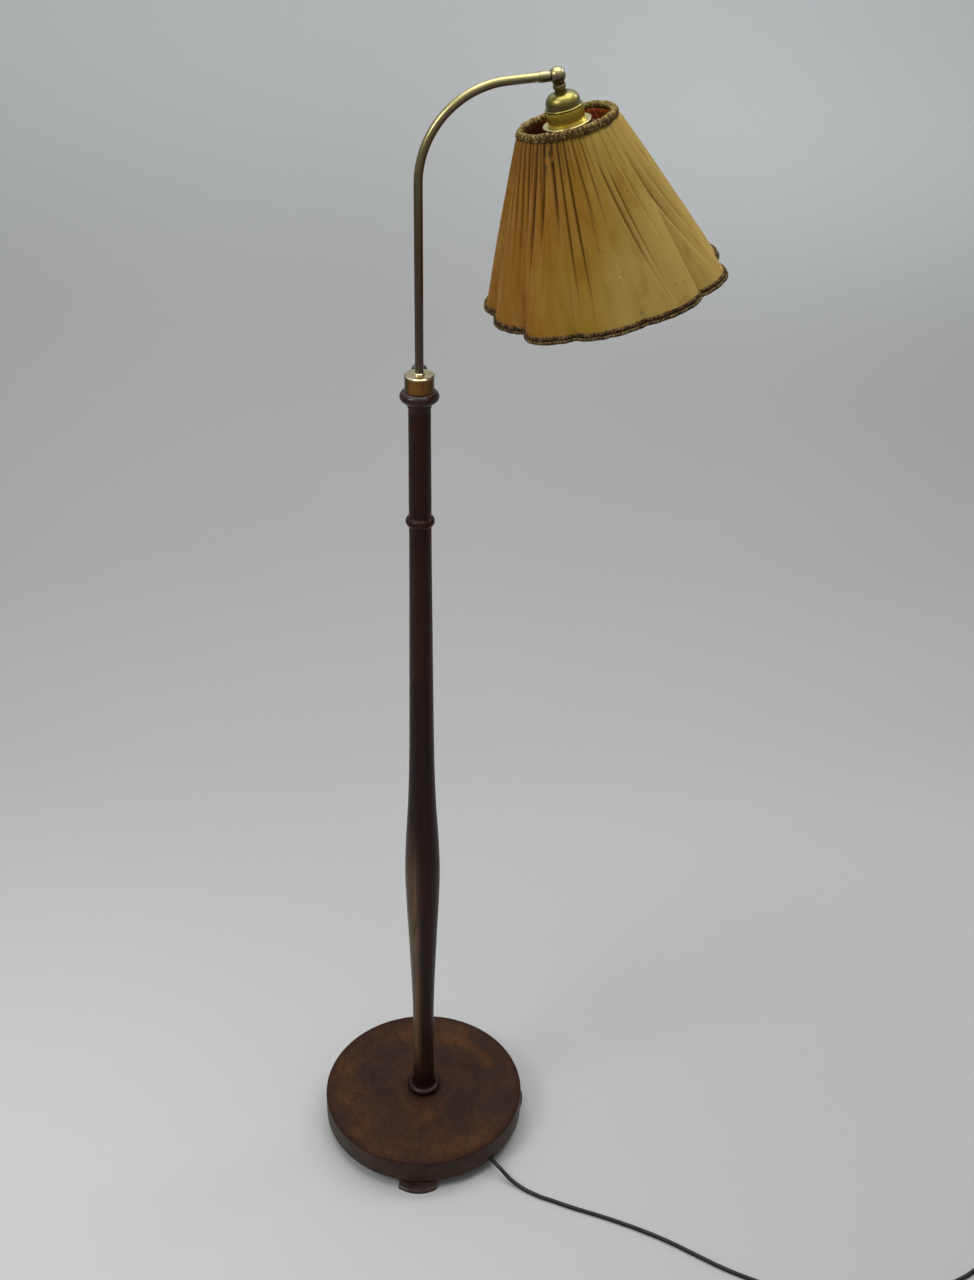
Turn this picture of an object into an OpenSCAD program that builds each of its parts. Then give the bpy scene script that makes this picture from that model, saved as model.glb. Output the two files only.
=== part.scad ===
// Candlestick floor lamp: a turned wooden column on a round foot plate, with a
// swan-neck brass arm that slides and turns in the column's collar, a knuckle,
// and a pleated shade with a scalloped lower edge.
// Millimetres.  The origin is on the floor, on the column's axis, +Z up, and
// the arm leans away towards +X.

/* [Foot plate] */
// Diameter of the round foot plate
base_d = 277; // [255:1:300]
// Thickness of the foot plate
base_t = 38; // [35:0.5:46]
// Rounding of the foot plate's upper edge
base_round = 5; // [2:0.5:8]
// Height of the three feet under the plate
foot_h = 15; // [13:0.5:20]
// Reach of a foot past the plate's rim
foot_out = 7; // [5:0.5:12]
// Width of a foot at the floor
foot_w = 52; // [44:1:60]
// Radius of a foot's rounded nose
foot_nose_r = 45; // [38:1:60]
// Directions of the three feet, seen from above
foot_turns = [266, 12, 139];
// Outer diameter of the iron weight in the underside
weight_d = 186; // [150:1:192]
// Thickness of the iron weight
weight_t = 16; // [10:0.5:18]

/* [Column] */
// Height of the column's top above the floor
column_top = 1113; // [1060:1:1160]
// Diameter of the shaft at its top
shaft_d = 25; // [23:0.5:28]
// Diameter of the slim waist above the foot plate
waist_d = 28; // [24:0.5:30]
// Diameter of the swelling
swell_d = 45; // [36:0.5:52]
// Height of the swelling's widest point
swell_z = 446; // [420:1:500]
// Diameter of the bead at the column's foot
foot_bead_d = 45; // [42:0.2:54]
// Diameter of the bead on the upper shaft
bead_d = 33.2; // [29:0.2:36]
// Height of that bead
bead_z = 956; // [900:1:1000]
// Diameter of the ring under the collar
ring_d = 43.4; // [38:0.2:48]
// Diameter of the tenon in the foot plate
tenon_d = 26; // [20:0.5:30]
// Length of the tenon
tenon_l = 20; // [14:0.5:22]
// Bore that the arm's tube slides in
slide_bore = 13; // [12.6:0.1:15]
// Bore that the lead runs in
lead_bore = 9; // [7:0.5:11]

/* [Collar] */
// Diameter of the brass collar
collar_d = 33; // [26:0.2:35]
// Height of the brass collar
collar_h = 18; // [16:0.5:24]
// Diameter of the collar's spigot in the column
spigot_d = 18; // [16:0.2:19]
// Length of the spigot
spigot_l = 25; // [15:0.5:35]
// Diameter of the bright bush round the tube
bush_d = 12.4; // [12:0.1:14]
// Diameter of the clamp knob
knob_d = 18.4; // [14:0.2:24]
// Depth of the clamp knob
knob_t = 10; // [7:0.5:14]
// Diameter of the clamp screw
clamp_d = 4; // [3:0.1:5]

/* [Arm] */
// Diameter of the arm's tube
tube_d = 9.5; // [8.6:0.1:10]
// Wall of the arm's tube
tube_wall = 1; // [0.6:0.1:1.2]
// Straight rise of the tube from the collar to the bend
arm_rise = 201; // [170:1:240]
// Radius of the bend
bend_r = 97.5; // [80:1:120]
// Slope of the arm's end above level, in degrees
end_rise = 4.5; // [0:0.5:10]
// Length from the bend to the knuckle's centre
arm_end = 49.5; // [40:0.5:70]
// Direction of the arm, seen from above
arm_turn = 10; // [0:1:30]
// Length of tube below the collar's top
tube_below = 240; // [200:1:260]
// Travel of the arm below the height that is drawn
travel_down = 150; // [100:1:160]
// Travel of the arm above the height that is drawn
travel_up = 120; // [80:1:125]
// Diameter of the ferrule at the arm's end
ferrule_d = 11; // [10.6:0.1:13]
// Length of the ferrule
ferrule_l = 11.3; // [9:0.1:16]

/* [Knuckle] */
// Diameter of the knuckle's ball
ball_d = 17.2; // [16.8:0.1:20]
// Thickness of the tongue in the ball
tongue_t = 6; // [4:0.1:7]
// Diameter of the pivot
pivot_d = 3.6; // [3:0.1:4]
// Lean of the shade out of plumb
shade_lean = 15; // [5:0.5:30]
// Lean at the inner stop
lean_min = 5; // [4:0.5:8]
// Lean at the outer stop
lean_max = 75; // [45:1:75]

/* [Lampholder] */
// Diameter of the cap
cap_d = 35.2; // [34:0.2:40]
// Depth of the cap, from its top to its bead
cap_h = 15; // [13:0.5:20]
// Diameter of the bead between cap and skirt
cap_bead_d = 39.4; // [38.6:0.2:46]
// Diameter of the skirt
skirt_d = 38; // [36.6:0.2:38.4]
// Length of the skirt below the bead
skirt_l = 29; // [26:0.5:34]
// Diameter of the upper shade ring
flange_d = 50; // [44:0.5:56]
// Diameter of the bulb
bulb_d = 48; // [45:1:65]
// Length of the bulb's glass
bulb_l = 78; // [75:1:100]

/* [Shade] */
// Distance from the knuckle to the shade's top ring
shade_hang = 48; // [47.5:0.5:54]
// Depth of the shade, from its top ring to its lower edge
shade_depth = 181; // [150:1:210]
// Diameter of the top ring
shade_top_d = 96; // [90:1:110]
// Diameter of the lower wire at the notches
shade_notch_d = 230; // [200:1:240]
// How far a lobe stands out past the notches
lobe_out = 15; // [8:0.5:22]
// Share of that by which the lobes at the front are flattened
front_flat = 0.6; // [0:0.05:0.8]
// How far the lower wire is bent out of true, away from the column
rim_away = 6.5; // [0:0.5:8]
// How far it is bent out of true sideways
rim_aside = 7; // [0:0.5:8]
// Depth of a shallow dent in that wire on the side away from the column
dent_away = 12; // [0:0.5:12]
// Depth of a shallow dent in it towards the column
dent_near = 11; // [0:0.5:12]
// Lobes round the lower edge
lobes = 10; // [6:1:12]
// Pleats in each lobe
lobe_pleats = 6; // [4:1:6]
// Depth of a pleat
pleat_depth = 1.7; // [0.8:0.1:2]
// Thickness of the cloth with its folds
cloth_t = 0.8; // [0.5:0.1:1]
// Diameter of the frame's wires
wire_d = 2.6; // [2:0.1:2.8]
// Radius of the trim round the top
top_trim_r = 4; // [3.6:0.1:5]
// Height of the trim along the lower edge
low_trim_h = 6.2; // [4:0.2:8]
// Thickness of the trim along the lower edge
low_trim_t = 3; // [2:0.2:4]

/* [Lead] */
// Diameter of the mains lead
lead_d = 5.5; // [5:0.1:6]
// Direction in which the lead leaves the foot plate
lead_turn = -48.2; // [-60:0.1:-40]
// Height of the lead's middle in its groove
lead_z = 18.5; // [18:0.1:20]
// Turns in the lower layer of the coil
lower_turns = 3; // [2:1:4]
// Turns in the upper layer of the coil
upper_turns = 2.5; // [1.5:0.5:3.5]

/* [Hidden] */
$fn = 48;

fit = 0.05;        // radial clearance of a running or threaded fit
loose = 0.3;       // clearance between pieces that only lie beside each other
base_r = base_d / 2;
base_top = foot_h + base_t;
foot_reach = base_r + foot_out;
foot_back_l = foot_nose_r + 5;
pocket_deep = weight_t + 2;
pocket_roof = foot_h + pocket_deep;
weight_hole = tenon_d + 34;
weight_screw_r = (weight_d + weight_hole) / 4;
groove_w = 9;
groove_top = lead_z + 5.5;

collar_top = column_top + collar_h;
tenon_bottom = base_top - tenon_l;
tube_bottom = collar_top - tube_below;
slide_bottom = tube_bottom - travel_down - 14;
spigot_bore = slide_bore;
bush_flange_h = 2;
bush_body_d = bush_d - 1;
bush_l = 12;
clamp_z = collar_top - 7.5;
knob_y = collar_d / 2 + 3;

end_nut_h = 10;
guide_l = 30;
stop_h = 2.5;
guide_z = tube_bottom + end_nut_h + loose;

bend_sweep = 90 - end_rise;
bend_start = collar_top + arm_rise;
bend_end = [bend_r * (1 - cos(bend_sweep)), 0, bend_start + bend_r * sin(bend_sweep)];
arm_dir = [cos(end_rise), 0, sin(end_rise)];
ball_at = bend_end + arm_end * arm_dir;
ball_r = ball_d / 2;
ferrule_near = ball_r - 0.9;          // the ferrule's end nearest the ball
ferrule_far = ferrule_near + ferrule_l;
tube_seat = ferrule_near + 4.3;       // where the tube stops in the ferrule
cavity_r = ball_r - 1.7;
eye_r = cavity_r - 0.4;
shank_w = 11;
slot_half = shank_w / 2 + 0.4;

neck_top = ball_r + 0.5;
neck_wide_r = 6.7;
neck_r = 5;
washer_top = neck_top + 6.2;
washer_t = 1.2;
cap_top = washer_top + washer_t;
cap_bead_at = cap_top + cap_h;
cap_wall = 1;
cap_dome_r = 10;
cap_boss_l = 7;
neck_bottom = cap_top + cap_boss_l;
bead_r = 1.3;
skirt_top = cap_bead_at + bead_r;
skirt_bottom = skirt_top + skirt_l;
skirt_wall = 1.2;
collet_l = 5;
insert_top = skirt_top + 0.6;
insert_plate = 7;
shell_top = insert_top + insert_plate;
shell_bottom = skirt_bottom - 0.6;
shell_r = 14.6;
shell_wall = 0.9;
bulb_cap_r = 13.1;
bulb_contact = shell_top + 2.1;
bulb_neck = shell_bottom + 1.4;
glass_wall = 1;
washer_at = shade_hang - 0.1;         // top of the spider's gallery ring
gallery_t = 1.6;
gallery_r = 22.5;
flange_t = 1.5;
ring_nut_t = 4;

wire_r = wire_d / 2;
top_ring_r = shade_top_d / 2;
notch_r = shade_notch_d / 2;
shade_foot = shade_hang + shade_depth;
lobe_turn = -12;                      // direction of the first notch
lobe_power = 0.72;                    // under 1 makes the lobes blunt
front_turn = -88;                     // direction in which the lobes are flattest
dent_away_turn = 8;                   // directions of the two dents, and their widths
dent_away_wide = 30;
dent_near_turn = -170;
dent_near_wide = 18;
cover_gap_top = wire_r + 0.45;
cover_gap_low = wire_r + 1.2;
cover_top = shade_hang - wire_r - 0.1;
lining_t = 0.8;
lining_top = shade_hang + wire_r + 1.1;
trim_at = cover_top - 0.6;            // centre of the top trim, from the knuckle
trim_ring_r = top_ring_r + 1.2;
columns = 2 * lobes * lobe_pleats;    // so that a column lies on each rib
function column_turn(k) = lobe_turn + 360 * k / columns;
spider_turns = [205, 325, 85];

cord_r = lead_d / 2;
coil_pitch = lead_d + 0.6;
coil_mid_r = 32;
coil_out_r = coil_mid_r + coil_pitch * lower_turns / 2;
coil_in_r = coil_mid_r - coil_pitch * lower_turns / 2;
coil_at = [779, -296];
coil_turn = 123;                      // direction of the coil's first point
coil_lift = cord_r + 0.9;             // the lowest layer lies on the tie
relief_l = 25;
relief_end = base_r + 1.5;
relief_start = relief_end - relief_l;
lead_bend_r = 14;
plug_l = 36;
plug_neck = 8;
plug_w = 35;
plug_t = 13.8;
pin_d = 4;
pin_l = 19;
pin_gap = 18.6;
pin_shank_d = 3.2;
pin_shank_l = 10;
tail_l = 62;
tie_w = 6;
tie_t = 0.6;

// ---------------------------------------------------------------- helpers
// A curve through points: cubic spans with the slopes of the neighbours.
function span_point(p, a, b, q, t) =
    let (t2 = t * t, t3 = t2 * t, m = (b - p) / 2, n = (q - a) / 2)
    (2 * t3 - 3 * t2 + 1) * a + (t3 - 2 * t2 + t) * m + (3 * t2 - 2 * t3) * b + (t3 - t2) * n;
function curve(points, steps) = [
    for (i = [0 : len(points) - 2], k = [0 : steps - 1])
        span_point(points[max(i - 1, 0)], points[i], points[i + 1],
                   points[min(i + 2, len(points) - 1)], k / steps),
    points[len(points) - 1]];
function unit(v) = v / norm(v);
function tangent(path, i) = unit(path[min(i + 1, len(path) - 1)] - path[max(i - 1, 0)]);
function length_of(path) = len(path) < 2 ? 0
    : [for (i = 0, s = 0; i < len(path); i = i + 1,
            s = i < len(path) ? s + norm(path[i] - path[i - 1]) : s) s][len(path) - 1];

// Rings of a round tube along a path that never stands upright, square to the
// path inside and to the two given directions at its ends.
function tube_rings(path, r, sides, first, last) = [
    for (i = [0 : len(path) - 1])
        let (t = i == 0 ? unit(first) : i == len(path) - 1 ? unit(last) : tangent(path, i),
             across = unit(cross([0, 0, 1], t)), up = cross(t, across))
        [for (k = [0 : sides - 1]) path[i] + r * (cos(90 + 360 * k / sides) * across
                                               + sin(90 + 360 * k / sides) * up)]];

// A solid through rings with equal numbers of points, open with flat ends or
// closed on itself.
module loft(rings, closed = false) {
    n = len(rings[0]);
    m = len(rings);
    last = closed ? m - 1 : m - 2;
    sides = [for (i = [0 : last], k = [0 : n - 1])
        let (a = i * n + k, b = i * n + (k + 1) % n,
             c = ((i + 1) % m) * n + (k + 1) % n, d = ((i + 1) % m) * n + k)
        each [[a, c, b], [a, d, c]]];
    ends = closed ? [] : [[for (k = [0 : n - 1]) k],
                          [for (k = [n - 1 : -1 : 0]) (m - 1) * n + k]];
    polyhedron([for (r = rings) each r], concat(sides, ends), convexity = 8);
}

// A turned piece with a flat underside and rounded edges.
module turned_block(r, h, low_round, top_round) {
    rotate_extrude($fn = 180) {
        translate([0, low_round]) square([r, h - low_round - top_round]);
        square([r - low_round, h - top_round]);
        translate([0, low_round]) square([r - top_round, h - low_round]);
        translate([r - low_round, low_round]) circle(low_round);
        translate([r - top_round, h - top_round]) circle(top_round);
    }
}

module tube(r_out, r_in, h) {
    difference() {
        cylinder(r = r_out, h = h);
        translate([0, 0, -1]) cylinder(r = r_in, h = h + 2);
    }
}

// A wood screw, head down, with its tip up.
module wood_screw(d, l, head_d, head_h) {
    difference() {
        cylinder(d1 = head_d, d2 = d, h = head_h);
        translate([-head_d, -0.4, -1]) cube([2 * head_d, 0.8, 1.8]);
    }
    translate([0, 0, head_h]) cylinder(d = d, h = l - head_h - d);
    translate([0, 0, l - d]) cylinder(d1 = d, d2 = 0.4, h = d);
}

// Moves a child into the arm's plane, to the knuckle, or into the shade's
// frame, which hangs along -Z from the knuckle.
module in_arm() rotate([0, 0, arm_turn]) children();
module at_ball() in_arm() translate(ball_at) children();
module along_arm_end() at_ball() rotate([0, 90 - end_rise, 0]) children();
module in_shade() at_ball() rotate([0, -shade_lean, 0]) children();
module down(d) translate([0, 0, -d]) children();
// Turns a profile of [radius, distance below the knuckle].
module hang_turned() rotate_extrude($fn = 72) mirror([0, 1]) children();

// ---------------------------------------------------------------- foot plate
foot_screw_spots = [for (s = [-1, 1]) [foot_reach - 34, s * foot_w / 4]];
foot_screw_l = 26;
foot_sink = 4;
weight_screw_l = 24;
cleat_r = 0.5 * (weight_d / 2 + relief_start);
cleat_w = 26;

module lead_groove_cut() {
    rotate([0, 0, lead_turn]) translate([0, -groove_w / 2, foot_h - 1])
        cube([base_r + 5, groove_w, groove_top - foot_h + 1]);
}

module base_disc() {
    color([0.23, 0.12, 0.07]) difference() {
        translate([0, 0, foot_h]) turned_block(base_r, base_t, 3, base_round);
        translate([0, 0, foot_h - 1]) cylinder(d = tenon_d + 2 * fit, h = base_t + 2, $fn = 96);
        translate([0, 0, foot_h - 1]) difference() {
            cylinder(d = weight_d + 2, h = pocket_deep + 1, $fn = 180);
            cylinder(d = weight_hole - 2, h = pocket_deep + 1, $fn = 96);
        }
        lead_groove_cut();
        for (turn = foot_turns, spot = foot_screw_spots)
            rotate([0, 0, turn]) translate([spot[0], spot[1], foot_h - 1])
                cylinder(d = 3.5 + 2 * fit, h = foot_screw_l - foot_h + foot_sink + 2);
        for (k = [0 : 2])
            rotate([0, 0, lead_turn + 60 + 120 * k])
                translate([weight_screw_r, 0, pocket_roof - 1])
                    cylinder(d = 4 + 2 * fit, h = weight_screw_l - weight_t + 2);
        for (s = [-1, 1])
            rotate([0, 0, lead_turn]) translate([cleat_r, s * cleat_w * 0.36, foot_h - 1])
                cylinder(d = 3 + 2 * fit, h = 14);
    }
}

module base_weight() {
    color([0.20, 0.20, 0.21]) difference() {
        translate([0, 0, pocket_roof - weight_t]) cylinder(d = weight_d, h = weight_t, $fn = 180);
        cylinder(d = weight_hole, h = pocket_roof, $fn = 96);
        rotate([0, 0, lead_turn]) translate([0, -groove_w / 2 - 1, 0])
            cube([weight_d, groove_w + 2, pocket_roof + 1]);
        for (k = [0 : 2])
            rotate([0, 0, lead_turn + 60 + 120 * k]) translate([weight_screw_r, 0, 0]) {
                cylinder(d = 4.6, h = pocket_roof + 1);
                translate([0, 0, pocket_roof - weight_t - 1]) cylinder(d = 9, h = 3.6 + 1);
            }
    }
}

module weight_screws() {
    color([0.55, 0.55, 0.56])
        for (k = [0 : 2])
            rotate([0, 0, lead_turn + 60 + 120 * k])
                translate([weight_screw_r, 0, pocket_roof - weight_t + 0.6])
                    wood_screw(4, weight_screw_l, 8.2, 3);
}

// One foot, drawn along +X: a moulded block with a rounded nose.
module foot() {
    nose_x = foot_reach - foot_nose_r;
    color([0.10, 0.045, 0.035]) difference() {
        intersection() {
            translate([nose_x, 0, 0]) rotate_extrude($fn = 120) difference() {
                square([foot_nose_r, foot_h]);
                translate([foot_nose_r + 3.5, foot_h - 4]) circle(7, $fn = 48);
            }
            rotate([90, 0, 90]) linear_extrude(foot_reach + 5)
                polygon([[-foot_w / 2, -1], [foot_w / 2, -1], [foot_w / 2, 3],
                         [foot_w / 2 - 3.5, foot_h + 1], [3.5 - foot_w / 2, foot_h + 1],
                         [-foot_w / 2, 3]]);
            translate([foot_reach - foot_back_l, -foot_w, 0]) cube([foot_back_l, 2 * foot_w, foot_h]);
        }
        for (spot = foot_screw_spots)
            translate([spot[0], spot[1], -1]) {
                cylinder(d = 4.2, h = foot_h + 2);
                cylinder(d = 8, h = foot_sink + 3.2);
            }
    }
}

module foot_front() rotate([0, 0, foot_turns[0]]) foot();
module foot_right() rotate([0, 0, foot_turns[1]]) foot();
module foot_back() rotate([0, 0, foot_turns[2]]) foot();

module foot_screws() {
    color([0.62, 0.50, 0.28])
        for (turn = foot_turns, spot = foot_screw_spots)
            rotate([0, 0, turn]) translate([spot[0], spot[1], foot_sink])
                wood_screw(3.5, foot_screw_l, 7, 2.6);
}

// ---------------------------------------------------------------- column
shaft_r = shaft_d / 2;
waist_r = waist_d / 2;
swell_r = swell_d / 2;
swell_by = swell_r - waist_r;
shaft_low = base_top + 26;
// Half outline of the shaft: the swelling is a little blunter above than below.
shaft_stations = [
    [waist_r + 0.7, shaft_low], [waist_r, shaft_low + 45],
    [waist_r + 0.08 * swell_by, swell_z - 224], [waist_r + 0.50 * swell_by, swell_z - 120],
    [waist_r + 0.86 * swell_by, swell_z - 48], [swell_r, swell_z],
    [waist_r + 0.86 * swell_by, swell_z + 48], [waist_r + 0.43 * swell_by, swell_z + 116],
    [waist_r + 0.18 * swell_by, swell_z + 190], [waist_r + 0.3, swell_z + 310],
    [shaft_r + 0.35, bead_z - 30], [shaft_r + 0.3, bead_z + 30],
    [shaft_r, column_top - 60], [shaft_r, column_top - 12]];
foot_bead_r = 5;
top_ring_half = 6.4;
bead_half = 6.2;
cove_steps = 8;

module column_outline() {
    shaft = curve(shaft_stations, 5);
    low_r = foot_bead_d / 2 - 0.6 * foot_bead_r;
    low_z = base_top + 1.75 * foot_bead_r;
    cove_h = shaft_low - low_z;
    cove = [for (k = [0 : cove_steps])
        let (a = 90 * k / cove_steps)
        [low_r - (low_r - shaft[0][0]) * sin(a), low_z + cove_h * (1 - cos(a))]];
    polygon(concat([[0, base_top], [foot_bead_d / 2 - foot_bead_r, base_top], [low_r, low_z]],
                   [for (k = [1 : cove_steps - 1]) cove[k]], shaft,
                   [[ring_d / 2 - 5.6, column_top - 12], [ring_d / 2 - 5.6, column_top], [0, column_top]]));
    translate([foot_bead_d / 2 - foot_bead_r, base_top + foot_bead_r]) circle(foot_bead_r);
    translate([bead_d / 2 - bead_half, bead_z]) circle(bead_half);
    translate([ring_d / 2 - top_ring_half, column_top - 7]) circle(top_ring_half);
    translate([0, column_top - 18.5]) square([shaft_r + 1.1, 8]);
}

module column() {
    color([0.13, 0.055, 0.04]) difference() {
        union() {
            rotate_extrude($fn = 96) column_outline();
            translate([0, 0, tenon_bottom]) cylinder(d = tenon_d, h = tenon_l, $fn = 96);
        }
        translate([0, 0, tenon_bottom - 1]) cylinder(d = lead_bore, h = column_top);
        translate([0, 0, slide_bottom]) cylinder(d = slide_bore, h = column_top);
        translate([0, 0, column_top - spigot_l - 1]) cylinder(d = spigot_d + 2 * fit, h = spigot_l + 2, $fn = 72);
    }
}

// ---------------------------------------------------------------- collar
lip_h = 3;
module collar() {
    color([0.66, 0.50, 0.26]) difference() {
        union() {
            translate([0, 0, column_top]) cylinder(d = collar_d - 0.8, h = collar_h - lip_h + 0.5, $fn = 96);
            translate([0, 0, column_top]) cylinder(d = collar_d - 0.2, h = 2.2, $fn = 96);
            translate([0, 0, collar_top - lip_h]) cylinder(d = collar_d, h = lip_h - 1, $fn = 96);
            translate([0, 0, collar_top - 1]) cylinder(d1 = collar_d, d2 = collar_d - 2, h = 1, $fn = 96);
            translate([0, 0, column_top - spigot_l]) cylinder(d = spigot_d, h = spigot_l + 1, $fn = 72);
        }
        translate([0, 0, column_top - spigot_l - 1]) cylinder(d = spigot_bore, h = spigot_l + collar_h - bush_l + 1);
        translate([0, 0, column_top]) cylinder(d = bush_body_d + 2 * fit, h = collar_h + 1);
        translate([0, 0, clamp_z]) rotate([-90, 0, 0]) cylinder(d = clamp_d + 2 * fit, h = collar_d);
    }
}

module collar_bush() {
    color([0.86, 0.74, 0.44]) difference() {
        union() {
            translate([0, 0, collar_top - bush_l]) cylinder(d = bush_body_d, h = bush_l);
            translate([0, 0, collar_top]) cylinder(d = bush_d, h = bush_flange_h - 0.6);
            translate([0, 0, collar_top + bush_flange_h - 0.6]) cylinder(d1 = bush_d, d2 = bush_d - 1.2, h = 0.6);
        }
        translate([0, 0, collar_top - bush_l - 1]) cylinder(d = tube_d + 2 * fit, h = bush_l + bush_flange_h + 2);
        translate([0, 0, clamp_z]) rotate([-90, 0, 0]) cylinder(d = clamp_d + 2 * fit, h = collar_d);
    }
}

module clamp_screw() {
    color([0.62, 0.48, 0.26]) translate([0, tube_d / 2 + loose, clamp_z]) rotate([-90, 0, 0]) {
        cylinder(d = clamp_d, h = knob_y + knob_t - 3 - tube_d / 2);
    }
}

module clamp_knob() {
    color([0.03, 0.03, 0.03]) translate([0, knob_y, clamp_z]) rotate([-90, 0, 0]) difference() {
        union() {
            cylinder(d = 8, h = 3);
            translate([0, 0, 2]) rotate_extrude($fn = 72) {
                square([knob_d / 2 - 2, knob_t - 2]);
                translate([0, 2]) square([knob_d / 2, knob_t - 6]);
                translate([knob_d / 2 - 2, 2]) circle(2);
                translate([knob_d / 2 - 2, knob_t - 4]) circle(2);
            }
        }
        translate([0, 0, -1]) cylinder(d = clamp_d + 2 * fit, h = knob_t - 1.5);
        for (k = [0 : 15])
            rotate([0, 0, 22.5 * k]) translate([knob_d / 2 + 0.6, 0, 1]) cylinder(r = 1.2, h = knob_t, $fn = 16);
    }
}

// ---------------------------------------------------------------- arm
// A tube, or with no wall a rod, along the arm: from a height on the column's
// axis to a point short of the knuckle.  The bend is drawn a hair slimmer than
// the straights, as bending leaves it.
bend_thins = 0.02;
module section(r, wall) {
    difference() {
        circle(r);
        if (wall > 0) circle(r - wall);
    }
}
module arm_rod(d, wall, from_z, short_by) {
    r = d / 2;
    translate([0, 0, from_z]) linear_extrude(bend_start - from_z) section(r, wall);
    translate([bend_r, 0, bend_start]) {
        rotate([0, bend_sweep, 0]) translate([-bend_r, 0, 0])
            linear_extrude(arm_end - short_by) section(r, wall);
        rotate([-90, 0, 0]) rotate([0, 0, 180]) rotate_extrude(angle = bend_sweep, $fn = 120)
            translate([bend_r, 0]) section(r - bend_thins, wall - 2 * bend_thins);
    }
}

module arm_tube() {
    color([0.45, 0.36, 0.20]) in_arm() arm_rod(tube_d, tube_wall, tube_bottom, tube_seat);
}

module lead_in_arm() {
    color([0.05, 0.05, 0.05]) in_arm() arm_rod(lead_d, 0, tube_bottom + 2, tube_seat + 1);
}

module tube_end_nut() {
    color([0.62, 0.50, 0.28]) in_arm() translate([0, 0, tube_bottom]) difference() {
        cylinder(d = slide_bore - 0.6, h = end_nut_h);
        translate([0, 0, -1]) cylinder(d = tube_d + 2 * fit, h = end_nut_h + 2);
    }
}

module guide_bush() {
    color([0.75, 0.60, 0.34]) translate([0, 0, guide_z])
        tube(slide_bore / 2 - fit, tube_d / 2 + fit, guide_l);
}

module tube_stop_ring() {
    color([0.62, 0.50, 0.28]) in_arm() translate([0, 0, guide_z + guide_l + loose])
        tube(slide_bore / 2 - 0.3, tube_d / 2 + fit, stop_h);
}

module arm_ferrule() {
    color([0.72, 0.62, 0.36]) along_arm_end() difference() {
        translate([0, 0, -ferrule_far]) rotate_extrude($fn = 72) difference() {
            square([ferrule_d / 2, ferrule_l]);
            for (h = [1.4, ferrule_l - 1.4]) translate([ferrule_d / 2 + 0.25, h]) circle(0.6, $fn = 24);
        }
        translate([0, 0, -ferrule_far - 1]) cylinder(d = tube_d + 2 * fit, h = ferrule_far - tube_seat + 1);
        translate([0, 0, -ferrule_far]) cylinder(d = 8 + 2 * fit, h = ferrule_far);
    }
}

// ---------------------------------------------------------------- knuckle
slot_near = lean_min - 1;
slot_far = lean_max + 1;
function lean_dir(a) = [sin(a), -cos(a)];
function lean_side(a) = [-cos(a), -sin(a)];

module knuckle_ball() {
    mid = (slot_near + slot_far) / 2;
    reach = 3 * ball_r;
    color([0.72, 0.62, 0.36]) difference() {
        union() {
            at_ball() sphere(ball_r, $fn = 96);
            along_arm_end() translate([0, 0, 0.3 - tube_seat]) cylinder(d = 8, h = tube_seat - cavity_r);
        }
        at_ball() rotate([90, 0, 0]) cylinder(r = cavity_r, h = tongue_t + 2 * loose, center = true);
        at_ball() rotate([90, 0, 0]) linear_extrude(tongue_t + 2 * loose, center = true)
            polygon([slot_half * lean_side(slot_near), slot_half * lean_side(slot_near) + reach * lean_dir(slot_near),
                     2 * reach * lean_dir(mid), reach * lean_dir(slot_far) - slot_half * lean_side(slot_far),
                     -slot_half * lean_side(slot_far)]);
        along_arm_end() translate([0, 0, -tube_seat]) cylinder(d = 4.5, h = tube_seat);
        at_ball() translate([0, -ball_r + 2, 0]) rotate([-90, 0, 0]) cylinder(d = pivot_d + 2 * fit, h = ball_d);
        at_ball() translate([0, ball_r - 2.4, 0]) rotate([-90, 0, 0]) cylinder(d = 6.4, h = ball_d);
    }
}

module knuckle_pivot() {
    color([0.60, 0.50, 0.30]) at_ball() rotate([-90, 0, 0]) difference() {
        union() {
            translate([0, 0, -ball_r + 2.4]) cylinder(d = pivot_d, h = ball_d - 4.6);
            translate([0, 0, ball_r - 2.3]) cylinder(d = 6, h = 1.6);
        }
        translate([-4, -0.4, ball_r - 1.4]) cube([8, 0.8, 2]);
    }
}

module knuckle_tongue() {
    color([0.55, 0.44, 0.27]) in_shade() difference() {
        union() {
            rotate([90, 0, 0]) cylinder(r = eye_r, h = tongue_t, center = true);
            translate([-shank_w / 2, -tongue_t / 2, -neck_top]) cube([shank_w, tongue_t, neck_top]);
            hang_turned() polygon([
                [0, neck_top], [neck_wide_r - 0.6, neck_top], [neck_wide_r, neck_top + 0.6],
                [neck_wide_r, neck_top + 2], [neck_r + 0.4, neck_top + 4.6], [neck_r, neck_top + 5.4],
                [neck_r, neck_bottom], [0, neck_bottom]]);
        }
        rotate([90, 0, 0]) cylinder(d = pivot_d + 2 * fit, h = 4 * tongue_t, center = true);
        down(neck_bottom + 1) cylinder(d = 6, h = neck_bottom - neck_top);
    }
}

// ---------------------------------------------------------------- lampholder
module cap_washer() {
    color([0.04, 0.04, 0.04]) in_shade() down(cap_top) tube(6.6, neck_r + fit, washer_t);
}

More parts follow.
